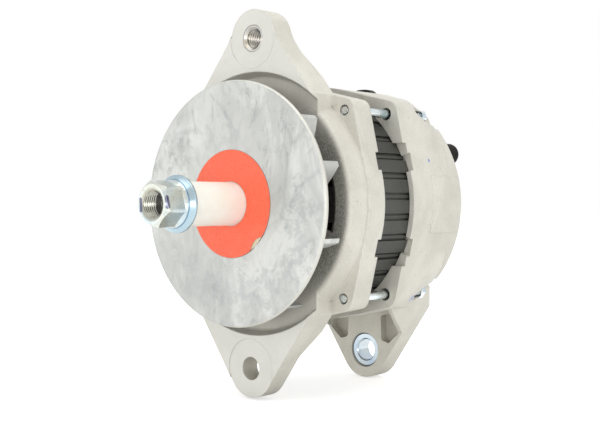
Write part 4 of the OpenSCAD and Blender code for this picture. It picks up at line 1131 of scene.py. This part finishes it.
def coil_path(slot, side_step, radial_step):
    """One closed strand of a coil, as points in the row frame."""
    low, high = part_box("stator_winding")
    core_front, core_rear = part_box("stator_core")[0][1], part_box("stator_core")[1][1]
    first = SLOT_PHASE + TURN * slot / SLOTS
    half = TURN * SLOTS_SPANNED / SLOTS / 2
    middle = first + half
    path = []
    for end in (-1, 1):
        base = core_front - STRAIGHT_END if end < 0 else core_rear + STRAIGHT_END
        crown = base - low[1] if end < 0 else high[1] - base
        reach = crown - WIRE_RADIUS - WIRE_SIDE_STEP - CROWN_ROOM + side_step
        for step in range(CROWN_POINTS + 1):
            share = step / CROWN_POINTS
            bend = math.pi * (share if end > 0 else 1 - share)
            swing = math.copysign(abs(math.cos(bend)) ** CROWN_SQUARENESS, -math.cos(bend))
            rise = math.sin(bend) ** CROWN_SQUARENESS if 0 < step < CROWN_POINTS else 0.0
            along = (swing + 1) / 2
            radius = INNER_LAYER + (OUTER_LAYER - INNER_LAYER) * along + radial_step
            widen = side_step / radius
            angle = middle + swing * (half + widen)
            path.append(Vector((radius * math.cos(angle), base + end * reach * rise,
                                SHAFT_Z + radius * math.sin(angle))))
    return path


def tube_along(path, radius, sides, points, faces):
    """Adds a closed round tube along the points to the mesh lists."""
    count = len(path)
    start = len(points)
    for place, here in enumerate(path):
        ahead = (path[(place + 1) % count] - path[place - 1]).normalized()
        out = Vector((here.x, 0, here.z - SHAFT_Z)).normalized()
        side = ahead.cross(out).normalized()
        out = side.cross(ahead)
        for corner in range(sides):
            angle = TURN * corner / sides
            points.append(here + radius * (math.cos(angle) * side + math.sin(angle) * out))
    for place in range(count):
        join_rings(faces, start + place * sides, start + (place + 1) % count * sides, sides)


def stator_coils():
    points, faces = [], []
    for slot in range(SLOTS):
        for side in (-1, 0, 1):
            for depth in (-0.5, 0.5):
                tube_along(coil_path(slot, side * WIRE_SIDE_STEP, depth * WIRE_RADIAL_STEP),
                           WIRE_RADIUS, 6, points, faces)
    piece = make_piece("stator_coils", points, faces, "coils", "housing", 80)
    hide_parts("stator_winding")


# Light and floor

def make_world():
    world = bpy.data.worlds.new("studio")
    bpy.context.scene.world = world
    world.use_nodes = True
    tree = world.node_tree
    tree.nodes.clear()
    out = tree.nodes.new("ShaderNodeOutputWorld")
    soft = tree.nodes.new("ShaderNodeBackground")
    soft.inputs["Color"].default_value = (0.98, 0.99, 1.0, 1)
    soft.inputs["Strength"].default_value = 0.7
    white = tree.nodes.new("ShaderNodeBackground")
    white.inputs["Color"].default_value = (1, 1, 1, 1)
    mix = tree.nodes.new("ShaderNodeMixShader")
    for socket, value in zip(mix.inputs, (seen_ray(tree), soft.outputs[0],
                                          white.outputs[0])):
        feed(tree, socket, value)
    feed(tree, out.inputs["Surface"], mix.outputs[0])


def seen_ray(tree):
    """1 where the ray comes from the camera, a reflection or a clear piece."""
    path = tree.nodes.new("ShaderNodeLightPath").outputs
    glossy = calc(tree, "MAXIMUM", path["Is Glossy Ray"], path["Is Transmission Ray"])
    return calc(tree, "MAXIMUM", path["Is Camera Ray"], glossy)


def area_light(name, place, aim, size, power):
    data = bpy.data.lights.new(name, "AREA")
    data.shape = "RECTANGLE"
    data.size, data.size_y = size
    data.energy = power
    light = bpy.data.objects.new(name, data)
    bpy.context.scene.collection.objects.link(light)
    light.location = place
    light.rotation_euler = (Vector(aim) - Vector(place)).to_track_quat("-Z", "Y").to_euler()


def make_lights():
    middle = (0, 0.02, SHAFT_Z)
    area_light("overhead_softbox", (0.1, -0.05, 1.0), middle, (1.1, 1.1), 4.6)
    area_light("left_softbox", (-0.7, -0.85, 0.2), middle, (0.9, 0.9), 1.3)
    area_light("right_softbox", (0.95, -0.05, 0.2), middle, (0.7, 0.9), 1.8)
    area_light("low_fill", (0.62, -0.85, 0.1), (0, 0.06, 0.03), (1.0, 0.2), 2.6)


def make_floor():
    bpy.ops.mesh.primitive_plane_add(size=12, location=(0, 0, FLOOR_Z - 0.5 * MM))
    floor = bpy.context.object
    floor.name = "studio_floor"
    material, tree, shader = fresh("studio_paper")
    shader.inputs["Base Color"].default_value = (0.9, 0.9, 0.9, 1)
    shader.inputs["Roughness"].default_value = 0.9
    shader.inputs["Specular IOR Level"].default_value = 0.1
    shader.inputs["Emission Color"].default_value = (1, 1, 1, 1)
    glow = tree.nodes.new("ShaderNodeEmission")
    feed(tree, glow.inputs["Strength"], times(tree, seen_ray(tree), 0.5))
    both = tree.nodes.new("ShaderNodeAddShader")
    feed(tree, both.inputs[0], shader.outputs[0])
    feed(tree, both.inputs[1], glow.outputs[0])
    feed(tree, tree.nodes["Material Output"].inputs["Surface"], both.outputs[0])
    floor.data.materials.append(material)


make_camera()
make_world()
make_lights()
make_floor()
dress_nodes()
tension_thread_insert()
flanged_shaft_nut()
through_bolts()
output_stud()
terminal_block()
sliding_bushing()
make_label()
stator_coils()

bpy.context.scene.view_settings.view_transform = "Standard"
